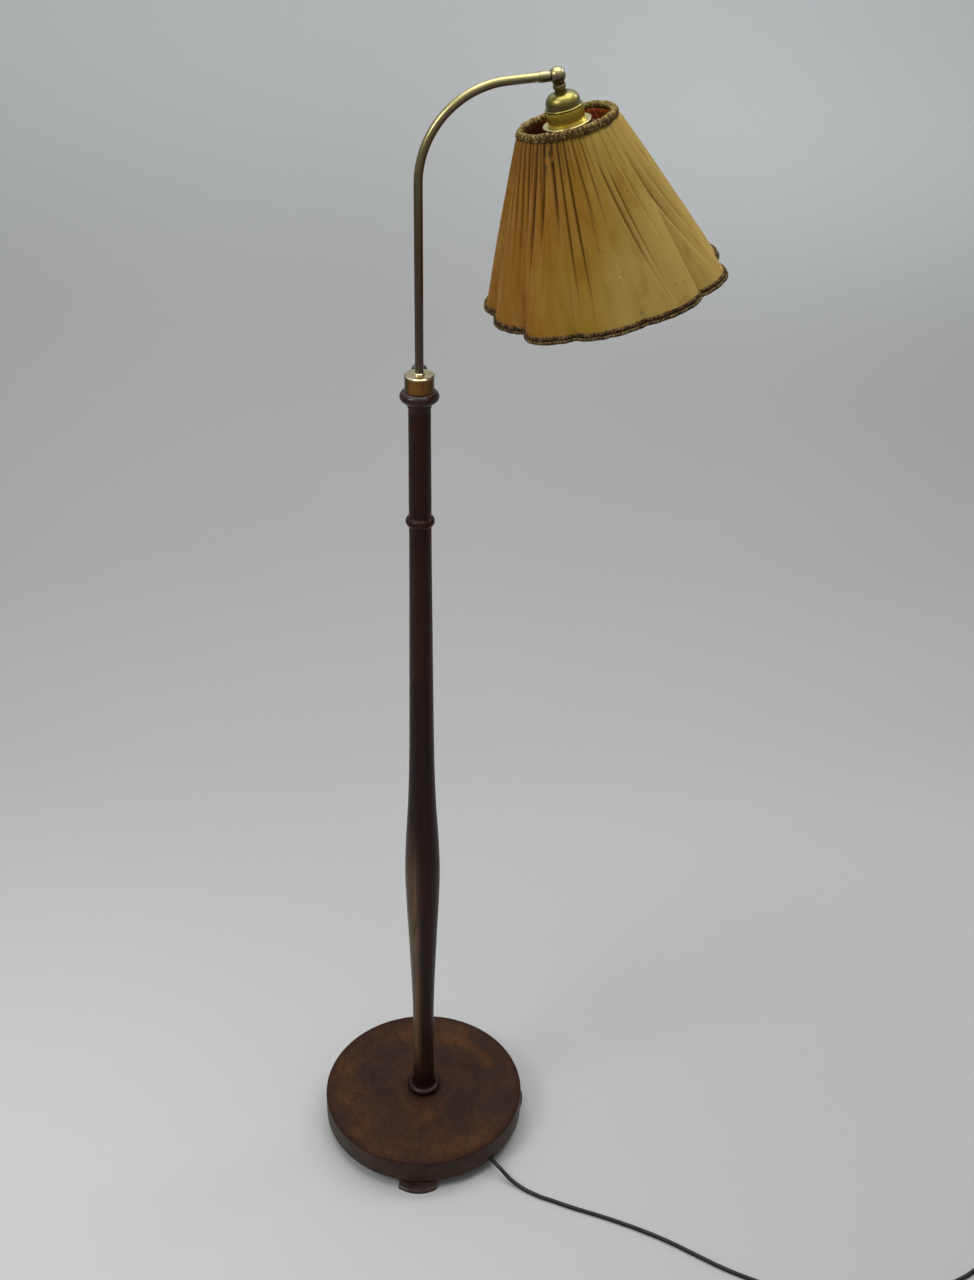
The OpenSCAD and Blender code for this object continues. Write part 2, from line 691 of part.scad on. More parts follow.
module lampholder_cap() {
    cap_r = cap_d / 2;
    corner = cap_r - cap_dome_r;
    color([0.66, 0.60, 0.22]) in_shade() hang_turned() difference() {
        union() {
            translate([0, cap_top]) square([corner, cap_bead_at - cap_top + bead_r]);
            translate([0, cap_top + cap_dome_r]) square([cap_r, cap_bead_at - cap_top - cap_dome_r + bead_r]);
            intersection() {
                translate([corner, cap_top + cap_dome_r]) circle(cap_dome_r, $fn = 72);
                translate([0, cap_top]) square([cap_r, cap_dome_r]);
            }
            translate([cap_bead_d / 2 - bead_r, cap_bead_at]) circle(bead_r, $fn = 32);
            translate([0, cap_bead_at - bead_r]) square([cap_bead_d / 2 - bead_r, 2 * bead_r]);
        }
        difference() {
            union() {
                translate([0, cap_top + cap_wall]) square([corner, cap_h + 9]);
                translate([0, cap_top + cap_dome_r]) square([cap_r - cap_wall, cap_h + 9]);
                translate([corner, cap_top + cap_dome_r]) circle(cap_dome_r - cap_wall, $fn = 72);
            }
            square([8, neck_bottom]);
        }
        square([neck_r + fit, skirt_top]);
    }
}

module lampholder_skirt() {
    skirt_r = skirt_d / 2;
    in_cap_r = cap_d / 2 - cap_wall - fit;
    color([0.66, 0.60, 0.22]) in_shade() hang_turned() difference() {
        union() {
            translate([0, skirt_top]) square([skirt_r, skirt_l]);
            translate([0, skirt_top - collet_l]) square([in_cap_r, collet_l + 1]);
        }
        translate([0, skirt_top + 0.4]) square([skirt_r - skirt_wall, skirt_l]);
        square([in_cap_r - 1.2, skirt_top + 1]);
    }
}

module lampholder_insert() {
    out_r = skirt_d / 2 - skirt_wall - 0.1;
    color([0.90, 0.88, 0.82]) in_shade() difference() {
        hang_turned() difference() {
            translate([0, insert_top]) square([out_r, shell_bottom - insert_top]);
            translate([0, shell_top]) square([shell_r + fit, skirt_l + 1]);
        }
        down(shell_top + 1) cylinder(d = 4, h = insert_plate + 2);
        for (s = [-1, 1]) translate([8 * s, 0, -insert_top - 4]) cylinder(d = 3 + 2 * fit, h = 5);
    }
}

module thread_shell() {
    color([0.80, 0.68, 0.36]) in_shade() hang_turned() translate([shell_r - shell_wall, shell_top])
        square([shell_wall, shell_bottom - shell_top]);
}

module centre_contact() {
    color([0.80, 0.68, 0.36]) in_shade() {
        down(shell_top + 1.6) cylinder(r = 4.5, h = 1.6);
        down(shell_top) cylinder(d = 4 - 2 * fit, h = insert_plate + 0.8);
    }
}

module terminal_screws() {
    color([0.72, 0.70, 0.66]) in_shade() for (s = [-1, 1]) translate([8 * s, 0, -insert_top]) difference() {
        union() {
            translate([0, 0, -3.6]) cylinder(d = 3, h = 3.7);
            cylinder(d = 5, h = 2);
        }
        translate([-3, -0.35, 1]) cube([6, 0.7, 2]);
    }
}

module shade_ring_upper() {
    color([0.70, 0.64, 0.26]) in_shade() hang_turned() difference() {
        union() {
            translate([0, washer_at - flange_t]) square([flange_d / 2 - 0.7, flange_t]);
            translate([flange_d / 2 - 0.75, washer_at - 0.75]) circle(0.75, $fn = 24);
            translate([0, washer_at - flange_t - 1]) square([skirt_d / 2 + 1.5, 2]);
        }
        square([skirt_d / 2 + fit, skirt_bottom]);
    }
}

module shade_ring_lower() {
    top = washer_at + gallery_t;
    color([0.70, 0.64, 0.26]) in_shade() difference() {
        down(top + ring_nut_t) tube(23, skirt_d / 2 + fit, ring_nut_t);
        for (k = [0 : 23]) rotate([0, 0, 15 * k]) translate([23.4, 0, -top - ring_nut_t - 1])
            cylinder(r = 0.9, h = ring_nut_t + 2, $fn = 16);
    }
}

module bulb_cap() {
    thread_l = shell_bottom - bulb_contact - 3.5;
    color([0.74, 0.74, 0.75]) in_shade() hang_turned() {
        difference() {
            union() {
                translate([0, bulb_contact + 1.4]) square([bulb_cap_r - 0.5, bulb_neck - bulb_contact - 0.2]);
                for (k = [0 : 4]) translate([bulb_cap_r - 0.9, bulb_contact + 3.4 + thread_l * k / 4.6])
                    circle(1.4, $fn = 24);
            }
            translate([0, bulb_contact + 7]) square([bulb_cap_r - 1.6, 40]);
        }
        translate([0, bulb_contact]) square([4, 2]);
    }
}

// Half outline of the bulb: a neck that opens into a round end.
bulb_r = bulb_d / 2;
bulb_mid = bulb_neck + bulb_l - bulb_r;
neck_join = 48;                       // angle at which the neck meets the ball
function bulb_outline(r, inset) =
    let (join_r = r * sin(neck_join), join_d = bulb_mid - r * cos(neck_join), steps = 12,
         neck = bulb_cap_r - 1.7 - inset)
    concat([[neck, bulb_neck - 9]],
           [for (k = [0 : steps - 1])
                let (t = k / steps, s = t * t * (2.2 - 1.2 * t))
                [neck * (1 - s) + join_r * s, bulb_neck + (join_d - bulb_neck) * t]],
           [for (a = [neck_join : 6 : 180]) [max(r * sin(a), 0), bulb_mid - r * cos(a)]]);

module bulb_glass() {
    outer = bulb_outline(bulb_r, 0);
    inner = bulb_outline(bulb_r - glass_wall, glass_wall);
    color([0.95, 0.93, 0.88, 0.6]) in_shade() hang_turned() difference() {
        polygon(concat([[0, outer[0][1]]], outer));
        polygon(concat([[0, inner[0][1] - 1]], [[inner[0][0], inner[0][1] - 1]], inner));
    }
}

// ---------------------------------------------------------------- shade
function share_down(d) = (d - shade_hang) / shade_depth;
// Radius of the frame's own surface at a distance below the knuckle.
function lobe(a) = lobe_out * pow(abs(sin(lobes / 2 * (a - lobe_turn))), lobe_power)
                   * (1 - front_flat * pow(max(0, cos(a - front_turn)), 2));
// A soft dent of unit depth.
function dent(a, turn, wide) = exp(-pow(((a - turn + 540) % 360 - 180) / wide, 2));
function rim_r(a) = notch_r + lobe(a) + rim_away * cos(a) + rim_aside * sin(a)
    - dent_away * dent(a, dent_away_turn, dent_away_wide)
    - dent_near * dent(a, dent_near_turn, dent_near_wide);
function frame_r(d, a) = let (t = share_down(d)) top_ring_r * (1 - t) + rim_r(a) * t;
function cover_in(d, a) =
    let (t = share_down(d)) frame_r(d, a) + cover_gap_top * (1 - t) + cover_gap_low * t;
function lining_out(d, a) =
    let (t = share_down(d)) frame_r(d, a) - cover_gap_top * (1 - t) - cover_gap_low * t;
function ring_point(r, d, a) = [r * cos(a), r * sin(a), -d];

module shade_spider() {
    color([0.62, 0.63, 0.64]) in_shade() difference() {
        union() {
            down(washer_at + gallery_t) cylinder(r = gallery_r, h = gallery_t, $fn = 72);
            hang_turned() translate([top_ring_r, shade_hang]) circle(wire_r, $fn = 32);
            for (turn = spider_turns) rotate([0, 0, turn])
                translate([skirt_d / 2 + 1, 0, -shade_hang - 0.2]) rotate([0, 90, 0])
                    cylinder(r = wire_r - 0.2, h = top_ring_r - skirt_d / 2 - 1);
        }
        down(washer_at + 4) cylinder(d = skirt_d + 0.6, h = 8, $fn = 72);
        down(washer_at) cylinder(r = flange_d / 2 + 0.2, h = 4);
        down(washer_at + gallery_t + 4) cylinder(r = 23.4, h = 4);
    }
}

module shade_frame() {
    color([0.62, 0.63, 0.64]) in_shade() {
        loft([for (k = [0 : columns - 1]) let (a = column_turn(k), r = frame_r(shade_foot, a))
            [for (q = [[-1, 0], [0, -1], [1, 0], [0, 1]])
                ring_point(r + wire_r * q[0], shade_foot + wire_r * q[1], a)]], true);
        for (k = [0 : lobes - 1]) {
            a = lobe_turn + 360 * k / lobes;
            high = ring_point(frame_r(shade_hang + 2.2, a), shade_hang + 2.2, a);
            low = ring_point(frame_r(shade_foot, a), shade_foot, a);
            v = low - high;
            translate(high) rotate([0, acos(v[2] / norm(v)), atan2(v[1], v[0])])
                cylinder(r = wire_r - 0.1, h = norm(v));
        }
    }
}

cover_levels = [[cover_top, 0.2], [cover_top + 5, 0.3], [cover_top + 14, 1],
                [shade_hang + 0.5 * shade_depth, 0.85], [shade_foot + 1, 0.5]];

module shade_cover() {
    color([0.64, 0.47, 0.20]) in_shade()
        loft([for (k = [0 : columns - 1]) let (a = column_turn(k)) concat(
            [for (lv = cover_levels)
                ring_point(cover_in(lv[0], a) + cloth_t + pleat_depth * lv[1] * (k % 2), lv[0], a)],
            [for (i = [len(cover_levels) - 1 : -1 : 0])
                ring_point(cover_in(cover_levels[i][0], a), cover_levels[i][0], a)])], true);
}

module shade_lining() {
    levels = [lining_top, shade_hang + 0.5 * shade_depth, shade_foot + 1];
    color([0.62, 0.22, 0.10]) in_shade()
        loft([for (k = [0 : columns - 1]) let (a = column_turn(k)) concat(
            [for (d = levels) ring_point(lining_out(d, a), d, a)],
            [for (i = [2, 1, 0]) ring_point(lining_out(levels[i], a) - lining_t, levels[i], a)])], true);
}

module top_trim() {
    color([0.42, 0.36, 0.22]) in_shade() hang_turned() difference() {
        translate([trim_ring_r, trim_at]) circle(top_trim_r);
        translate([0, cover_top - 0.3]) square([cover_in(cover_top + 4, 0) + cloth_t + 0.3 * pleat_depth + 0.3, 20]);
    }
}

module lower_trim() {
    half = low_trim_h / 2;
    inner_at = cover_gap_low + cloth_t + 0.5 * pleat_depth + loose;
    low = shade_foot - half + 1.5;
    color([0.42, 0.36, 0.22]) in_shade()
        loft([for (k = [0 : columns - 1])
            let (a = column_turn(k), r = frame_r(shade_foot, a) + inner_at,
                 slope = (frame_r(shade_foot, a) - top_ring_r) / shade_depth)
            [for (q = [[0.4, -1], [1, -0.4], [1, 0.4], [0.4, 1], [0, 0]])
                ring_point(r + low_trim_t * q[0] + slope * half * (q[1] + 0.5), low + half * q[1], a)]],
             true);
}

// ---------------------------------------------------------------- lead
module lead_in_stand() {
    bend_z = lead_z + lead_bend_r;
    color([0.05, 0.05, 0.05]) rotate([0, 0, lead_turn]) {
        translate([0, 0, bend_z]) cylinder(d = lead_d, h = slide_bottom + 8 - bend_z);
        translate([lead_bend_r, 0, bend_z]) rotate([90, 0, 0]) rotate([0, 0, 180])
            rotate_extrude(angle = 90, $fn = 96) translate([lead_bend_r, 0]) circle(d = lead_d, $fn = 48);
        translate([lead_bend_r, 0, lead_z]) rotate([0, 90, 0]) cylinder(d = lead_d, h = relief_end - lead_bend_r);
    }
}

module strain_relief() {
    color([0.03, 0.03, 0.03]) rotate([0, 0, lead_turn]) translate([relief_start, 0, lead_z]) rotate([0, 90, 0])
        difference() {
            cylinder(d1 = 8.2, d2 = 6.6, h = relief_l);
            translate([0, 0, -1]) cylinder(d = lead_d + 2 * fit, h = relief_l + 2);
        }
}

module lead_cleat() {
    color([0.12, 0.07, 0.05]) rotate([0, 0, lead_turn]) difference() {
        translate([cleat_r - 5, -cleat_w / 2, foot_h - 3]) cube([10, cleat_w, 3]);
        for (s = [-1, 1]) translate([cleat_r, s * cleat_w * 0.36, 0]) cylinder(d = 3.6, h = foot_h + 5);
    }
}

module cleat_screws() {
    color([0.62, 0.50, 0.28]) rotate([0, 0, lead_turn])
        for (s = [-1, 1]) translate([cleat_r, s * cleat_w * 0.36, foot_h - 5]) {
            translate([0, 0, 2]) wood_screw_round(3, 14, 6);
        }
}

// A round-headed wood screw, head down.
module wood_screw_round(d, l, head_d) {
    difference() {
        translate([0, 0, -1.8]) cylinder(d1 = head_d - 2, d2 = head_d, h = 1.8);
        translate([-head_d, -0.35, -2.8]) cube([2 * head_d, 0.7, 1.8]);
    }
    cylinder(d = d, h = l - 3);
    translate([0, 0, l - 3]) cylinder(d1 = d, d2 = 0.4, h = 3);
}

// The coil, seen from above: round points of a spiral that runs clockwise
// inwards, climbs a layer in half a turn and runs outwards again.
function coil_angle(turns) = coil_turn - 360 * turns;
function coil_r(t) =
    t <= lower_turns + 0.25 ? coil_out_r - coil_pitch * t
    : t <= lower_turns + 0.5 ? coil_in_r + coil_pitch * (t - lower_turns - 0.5)
    : coil_in_r + coil_pitch * (t - lower_turns - 0.5);
function coil_z(t) =
    let (s = min(max((t - lower_turns) / 0.5, 0), 1)) coil_lift + coil_pitch * s * s * (3 - 2 * s);
function coil_point(t) = [coil_at[0] + coil_r(t) * cos(coil_angle(t)),
                          coil_at[1] + coil_r(t) * sin(coil_angle(t)), coil_z(t)];
coil_turns = lower_turns + 0.5 + upper_turns;
coil_steps = 20;
function coil_heading(t) = [sin(coil_angle(t)), -cos(coil_angle(t)), 0];
coil_path = concat([coil_point(0) - lead_d * coil_heading(0)],
                   [for (k = [0 : coil_turns * coil_steps]) coil_point(k / coil_steps)],
                   [coil_point(coil_turns) + lead_d * coil_heading(coil_turns)]);
coil_gap = min([for (i = [0 : len(coil_path) - 1], j = [i + 12 : 1 : len(coil_path) - 1])
    norm(coil_path[i] - coil_path[j])]) - lead_d;

// The lead's way across the floor, point by point, from its exit to the coil.
exit_way = [cos(lead_turn), sin(lead_turn), 0];
exit_at = relief_end * exit_way + [0, 0, lead_z];
floor_points = [
    [99, -112, 17.5], [106, -119.5, 15], [113, -126, 10.5], [121, -132.5, 6.5],
    [130, -139, 4], [140, -146, 3], [150, -152, 2.75], [160, -157.5, 2.75],
    [172, -162.5, 2.75], [186, -169, 2.75], [203, -176.5, 2.75], [238, -190.5, 2.75],
    [280, -209.5, 2.75], [321, -231.5, 2.75], [356, -254, 2.75], [387, -274, 2.75],
    [423, -293, 2.75], [463, -310, 2.75], [510, -323, 2.75], [560, -329, 2.75],
    [612, -326, 2.75], [657, -315.5, 2.75], [697, -299, 2.75], [718, -287, 2.8],
    [736, -275, 3.2]];
free_points = concat([exit_at], floor_points,
                     [coil_path[0] - 8 * coil_heading(0), coil_path[0]]);
free_path = [for (q = curve(free_points, 3)) [q[0], q[1], max(q[2], cord_r)]];

// The tail runs straight on from the coil's end and sinks to the plug.
tail_way = coil_heading(coil_turns);
tail_from = coil_path[len(coil_path) - 1];
tail_drop = tail_from[2] - plug_t / 2;
tail_path = [for (k = [0 : 12])
    let (t = k / 12, s = max(2 * t - 1, 0))
    tail_from + tail_l * t * tail_way - [0, 0, tail_drop * s * s * (3 - 2 * s)]];
plug_at = tail_path[len(tail_path) - 1];
echo(lead_gap = coil_gap, lead_length = length_of(free_path) + length_of(coil_path) + tail_l,
     exit_at = exit_at, plug_at = plug_at, tail_way = tail_way, ball_at = ball_at);

module cord_free() color([0.04, 0.04, 0.05])
    loft(tube_rings(free_path, cord_r, 8, exit_way, coil_heading(0)));
module cord_coil() color([0.04, 0.04, 0.05])
    loft(tube_rings(coil_path, cord_r, 6, coil_heading(0), tail_way));
module cord_tail() color([0.04, 0.04, 0.05])
    loft(tube_rings(tail_path, cord_r, 8, tail_way, tail_way));

module cord_tie() {
    // The coil's turns under the tie, three quarters of a turn from its start
    inner = coil_in_r + 0.25 * coil_pitch - cord_r - loose;
    outer = coil_out_r - 0.75 * coil_pitch + cord_r + loose;
    low = coil_lift - cord_r - loose;
    high = coil_lift + coil_pitch + cord_r + loose;
    color([0.06, 0.06, 0.06]) translate([coil_at[0], coil_at[1], 0]) rotate([0, 0, coil_angle(0.75)])
        rotate([90, 0, 0]) linear_extrude(tie_w, center = true) difference() {
            translate([inner - tie_t, low - tie_t]) square([outer - inner + 2 * tie_t, high - low + 2 * tie_t]);
            translate([inner, low]) square([outer - inner, high - low]);
        }
}

module at_plug() translate(plug_at) rotate([0, 0, atan2(tail_way[1], tail_way[0])]) children();
module at_pins() at_plug()
    for (s = [-1, 1]) translate([plug_l, s * pin_gap / 2, 0]) rotate([0, 90, 0]) children();

module plug_body() {
    shoulder = plug_l - 10;
    color([0.04, 0.04, 0.04]) difference() {
        at_plug() {
            translate([plug_neck, 0, -plug_t / 2]) linear_extrude(plug_t)
                polygon([[0, -7.5], [shoulder - plug_neck, -plug_w / 2], [plug_l - plug_neck, -plug_w / 2],
                         [plug_l - plug_neck, plug_w / 2], [shoulder - plug_neck, plug_w / 2], [0, 7.5]]);
            rotate([0, 90, 0]) cylinder(d1 = lead_d + 3, d2 = plug_t - 1, h = plug_neck + 1);
        }
        at_pins() translate([0, 0, -pin_shank_l]) cylinder(d = pin_shank_d + 2 * fit, h = pin_shank_l + 1);
    }
}

module plug_pins() {
    color([0.80, 0.76, 0.62]) at_pins() {
        translate([0, 0, -pin_shank_l]) cylinder(d = pin_shank_d, h = pin_shank_l + 1);
        cylinder(d = pin_d, h = pin_l - pin_d / 2);
        translate([0, 0, pin_l - pin_d / 2]) sphere(d = pin_d, $fn = 32);
    }
}

base_disc();
base_weight();
weight_screws();
foot_front();
foot_right();
foot_back();
foot_screws();
column();
collar();
collar_bush();
clamp_screw();
clamp_knob();
guide_bush();
arm_tube();
tube_end_nut();
tube_stop_ring();
arm_ferrule();
lead_in_arm();
knuckle_ball();
knuckle_pivot();
knuckle_tongue();
cap_washer();
lampholder_cap();
lampholder_skirt();
lampholder_insert();
thread_shell();
centre_contact();
terminal_screws();
shade_ring_upper();
shade_ring_lower();
bulb_cap();
bulb_glass();
shade_spider();
shade_frame();
shade_cover();
shade_lining();
top_trim();
lower_trim();
lead_in_stand();
strain_relief();
lead_cleat();
cleat_screws();
cord_free();
cord_coil();
cord_tail();
cord_tie();
plug_body();
plug_pins();
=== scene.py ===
"""Looks of the candlestick floor lamp: its pleated shade, trims, lead, woods and metals."""
import math

import bpy
import numpy as np
from mathutils import Matrix, Vector


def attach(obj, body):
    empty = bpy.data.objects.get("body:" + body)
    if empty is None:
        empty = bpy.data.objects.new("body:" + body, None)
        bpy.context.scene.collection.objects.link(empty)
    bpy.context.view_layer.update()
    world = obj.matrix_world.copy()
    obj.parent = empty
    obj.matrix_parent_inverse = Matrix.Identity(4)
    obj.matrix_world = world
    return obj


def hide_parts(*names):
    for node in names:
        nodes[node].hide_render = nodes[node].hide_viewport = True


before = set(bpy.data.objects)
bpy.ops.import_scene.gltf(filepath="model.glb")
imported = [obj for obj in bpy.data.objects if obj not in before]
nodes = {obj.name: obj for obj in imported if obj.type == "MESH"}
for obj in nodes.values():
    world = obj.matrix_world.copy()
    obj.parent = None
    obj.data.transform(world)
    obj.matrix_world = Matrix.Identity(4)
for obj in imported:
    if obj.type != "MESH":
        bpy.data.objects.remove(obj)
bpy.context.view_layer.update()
scene = bpy.context.scene
rng = np.random.RandomState(7)

# ------------------------------------------------------------------ camera
# The photograph's camera: its place in metres, and its turns round X, Y and Z in degrees
CAMERA_AT = (0.0, -1.56625, 1.75798)
CAMERA_TURN = (58.515, -0.957, -2.259)
CAMERA_LENS = 43.82

cam_data = bpy.data.cameras.new("camera")
cam_data.sensor_width = 36.0
cam_data.lens = CAMERA_LENS
cam = bpy.data.objects.new("camera", cam_data)
scene.collection.objects.link(cam)
cam.location = CAMERA_AT
cam.rotation_euler = [math.radians(a) for a in CAMERA_TURN]
scene.camera = cam


# ------------------------------------------------------------------ node helpers
class Paint:
    """A material whose nodes are added one by one."""

    def __init__(self, name, **values):
        self.mat = bpy.data.materials.new(name)
        self.mat.use_nodes = True
        self.tree = self.mat.node_tree
        self.bsdf = self.tree.nodes["Principled BSDF"]
        self.set(**values)

    def set(self, **values):
        for key, value in values.items():
            self.wire(self.bsdf, key.replace("_", " "), value)

    def wire(self, node, key, value):
        socket = node.inputs[key]
        if isinstance(value, bpy.types.NodeSocket):
            self.tree.links.new(value, socket)
        elif socket.type == "RGBA":
            socket.default_value = (*value[:3], 1.0)
        else:
            socket.default_value = value

    def node(self, kind, out=0, props=None, **values):
        n = self.tree.nodes.new("ShaderNode" + kind)
        for key, value in (props or {}).items():
            setattr(n, key, value)
        for key, value in values.items():
            if key[0] == "i" and key[1:].isdigit():
                key = int(key[1:])
            else:
                key = key.replace("_", " ")
            self.wire(n, key, value)
        return n.outputs[out]

    def place(self, scale=(1, 1, 1), turn=(0, 0, 0), of=None):
        at = self.vector(of) if of else self.node("TexCoord", "Object")
        return self.node("Mapping", Vector=at, Scale=scale, Rotation=turn)

    def vector(self, name):
        return self.node("Attribute", "Vector", {"attribute_name": name})

    def noise(self, scale, detail=4.0, rough=0.55, at=None, warp=0.0, out="Fac"):
        return self.node("TexNoise", out, Vector=at or self.place(), Scale=scale, Detail=detail,
                         Roughness=rough, Distortion=warp)

    def ramp(self, fac, *stops):
        n = self.tree.nodes.new("ShaderNodeValToRGB")
        e = n.color_ramp.elements
        while len(e) < len(stops):
            e.new(0.5)
        for el, (pos, col) in zip(e, stops):
            el.position = pos
            el.color = (*col, 1.0) if hasattr(col, "__len__") else (col, col, col, 1.0)
        self.tree.links.new(fac, n.inputs[0])
        return n.outputs[0]

    def mix(self, fac, a, b, how="MIX"):
        n = self.tree.nodes.new("ShaderNodeMix")
        n.data_type = "RGBA"
        n.blend_type = how
        self.wire(n, 0, fac)
        self.wire(n, 6, a)
        self.wire(n, 7, b)
        return n.outputs[2]

    def math(self, op, a, b=0.0, c=0.0, clamp=False):
        return self.node("Math", 0, {"operation": op, "use_clamp": clamp}, i0=a, i1=b, i2=c)

    def span(self, value, lo, hi, to_lo=0.0, to_hi=1.0):
        return self.node("MapRange", 0, {"interpolation_type": "SMOOTHSTEP"}, Value=value,
                         From_Min=lo, From_Max=hi, To_Min=to_lo, To_Max=to_hi)

    def axis(self, name, at=None):
        return self.node("SeparateXYZ", name, Vector=at or self.node("TexCoord", "Object"))

    def data(self, name):
        return self.node("Attribute", "Fac", {"attribute_name": name})

    def bump(self, height, strength, distance=0.001, under=None):
        values = {"Strength": strength, "Distance": distance, "Height": height}
        if under is not None:
            values["Normal"] = under
        out = self.node("Bump", 0, None, **values)
        self.set(Normal=out)
        return out

    def give(self, *names):
        for name in names:
            o = nodes[name]
            o.data.materials.clear()
            o.data.materials.append(self.mat)
            for p in o.data.polygons:
                p.material_index = 0
        return self


def smooth(o, angle=35):
    o.data.shade_smooth()
    o.data.set_sharp_from_angle(angle=math.radians(angle))


def mesh_object(name, verts, faces, paint, body=None):
    me = bpy.data.meshes.new(name)
    me.from_pydata(np.asarray(verts).tolist(), [], faces)
    me.update()
    me.shade_smooth()
    o = bpy.data.objects.new(name, me)
    scene.collection.objects.link(o)
    me.materials.append(paint.mat)
    if body:
        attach(o, body)
    return o


def grid_faces(rows, cols, wrap_rows=False, wrap_cols=True):
    """Quads over rows x cols points, row by row."""
    faces = []
    for i in range(rows if wrap_rows else rows - 1):
        for k in range(cols if wrap_cols else cols - 1):
            j, m = (i + 1) % rows, (k + 1) % cols
            faces.append((i * cols + k, i * cols + m, j * cols + m, j * cols + k))
    return faces


def step(x):
    """A smooth rise from 0 to 1 while x goes from 0 to 1."""
    x = np.clip(x, 0, 1)
    return x * x * (3 - 2 * x)


# ------------------------------------------------------------------ the lead
# Sizes in mm, as in the part's source
LEAD_D = 5.5
LEAD_TURN = math.radians(-48.2)
LEAD_Z = 18.5
RELIEF_END = 140
COIL_X, COIL_Y, COIL_Z = 779, -296, 3.65
COIL_R = 32
COIL_START = 123
COIL_STEPS = 40
PITCH = 6.1
TURNS = 6
LOWER_TURNS = 3
CLIMB = 0.5
TAIL_L = 62
TAIL_STEPS = 24
PLUG_Z = 6.9
OUT_R = COIL_R + LOWER_TURNS / 2 * PITCH
IN_R = COIL_R - LOWER_TURNS / 2 * PITCH


def spline(points, steps):
    """The lead's smooth way through its points, as in the part's source."""
    out = []
    for i in range(len(points) - 1):
        p, q = points[i], points[i + 1]
        m = (q - points[max(i - 1, 0)]) / 2
        n = (points[min(i + 2, len(points) - 1)] - p) / 2
        for k in range(steps):
            t = k / steps
            out.append((2 * t**3 - 3 * t**2 + 1) * p + (t**3 - 2 * t**2 + t) * m
                       + (3 * t**2 - 2 * t**3) * q + (t**3 - t**2) * n)
    return out + [points[-1]]


def coil_point(t):
    """A place on the coil after t turns: inward in the lower layer, outward in the upper."""
    a = math.radians(COIL_START - 360 * t)
    if t <= LOWER_TURNS + CLIMB / 2:
        r = OUT_R - PITCH * t
    else:
        r = IN_R + PITCH * (t - LOWER_TURNS - CLIMB)
    z = COIL_Z + PITCH * step((t - LOWER_TURNS) / CLIMB)
    return np.array([COIL_X + r * math.cos(a), COIL_Y + r * math.sin(a), z])


def coil_heading(t):
    a = math.radians(COIL_START - 360 * t)
    return np.array([math.sin(a), -math.cos(a), 0.0])


exit_at = np.array([RELIEF_END * math.cos(LEAD_TURN), RELIEF_END * math.sin(LEAD_TURN), LEAD_Z])
floor_points = [
    (99, -112, 17.5), (106, -119.5, 15), (113, -126, 10.5), (121, -132.5, 6.5), (130, -139, 4),
    (140, -146, 3), (150, -152, 2.75), (160, -157.5, 2.75), (172, -162.5, 2.75), (186, -169, 2.75),
    (203, -176.5, 2.75), (238, -190.5, 2.75), (280, -209.5, 2.75), (321, -231.5, 2.75),
    (356, -254, 2.75), (387, -274, 2.75), (423, -293, 2.75), (463, -310, 2.75), (510, -323, 2.75),
    (560, -329, 2.75), (612, -326, 2.75), (657, -315.5, 2.75), (697, -299, 2.75),
    (718, -287, 2.8), (736, -275, 3.2)]
coil = ([coil_point(0) - LEAD_D * coil_heading(0)]
        + [coil_point(k / COIL_STEPS) for k in range(COIL_STEPS * TURNS + 1)]
        + [coil_point(TURNS) + LEAD_D * coil_heading(TURNS)])
free = spline([exit_at] + [np.array(p, float) for p in floor_points]
              + [coil[0] - 8 * coil_heading(0), coil[0]], 6)
free = [np.array([p[0], p[1], max(p[2], LEAD_D / 2)]) for p in free]
tail_way = coil_heading(TURNS)
tail_from = coil[-1]
tail = []
for k in range(1, TAIL_STEPS + 1):
    t = k / TAIL_STEPS
    drop = (tail_from[2] - PLUG_Z) * step(2 * t - 1)
    tail.append(tail_from + TAIL_L * t * tail_way - np.array([0, 0, drop]))
route = np.array(free[:-1] + coil + tail) / 1000


def paint_lead():
    p = Paint("lead", Specular_IOR_Level=0.22)
    p.set(Base_Color=p.ramp(p.noise(60, 4), (0.35, (0.005, 0.005, 0.0055)),
                            (0.65, (0.009, 0.009, 0.0095))))
    p.set(Roughness=p.span(p.noise(90, 5), 0.3, 0.7, 0.28, 0.46))
    p.bump(p.noise(700, 3), 0.15, 0.0004)
    return p


curve = bpy.data.curves.new("mains_lead", "CURVE")
curve.dimensions = "3D"
line = curve.splines.new("POLY")
line.use_smooth = True
line.points.add(len(route) - 1)
for point, at in zip(line.points, route):
    point.co = (*at, 1.0)
curve.bevel_depth = LEAD_D / 2000
curve.bevel_resolution = 6
curve.use_fill_caps = True
lead = bpy.data.objects.new("mains_lead", curve)
scene.collection.objects.link(lead)
curve.materials.append(paint_lead().mat)
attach(lead, "stand")
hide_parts("cord_free", "cord_coil", "cord_tail")


# ------------------------------------------------------------------ shade geometry
def rot(axis, degrees):
    return Matrix.Rotation(math.radians(degrees), 4, axis)


# The shade's frame is at the knuckle, turned with the arm and leaning with the shade
KNUCKLE_AT = (0.137083, 0.024172, 1.43308)
ARM_TURN = 10
SHADE_LEAN = 15
SHADE = np.array(Matrix.Translation(KNUCKLE_AT) @ rot("Z", ARM_TURN) @ rot("Y", -SHADE_LEAN))

# Sizes in mm and degrees, as in the part's source
HANG = 48.0
DEPTH = 181.0
FOOT = HANG + DEPTH
TOP_R = 48.0
NOTCH_R = 115.0
LOBES = 10
LOBE_OUT = 15
LOBE_TURN = 12
LOBE_ROUND = 0.72
FRONT_FLAT = 0.6
FRONT_AT = -88
AWAY = 6.5
ASIDE = 7.0
# Dents of the lower wire: depth, azimuth and width
DENTS = [(12, 8, 30), (11, -170, 18)]
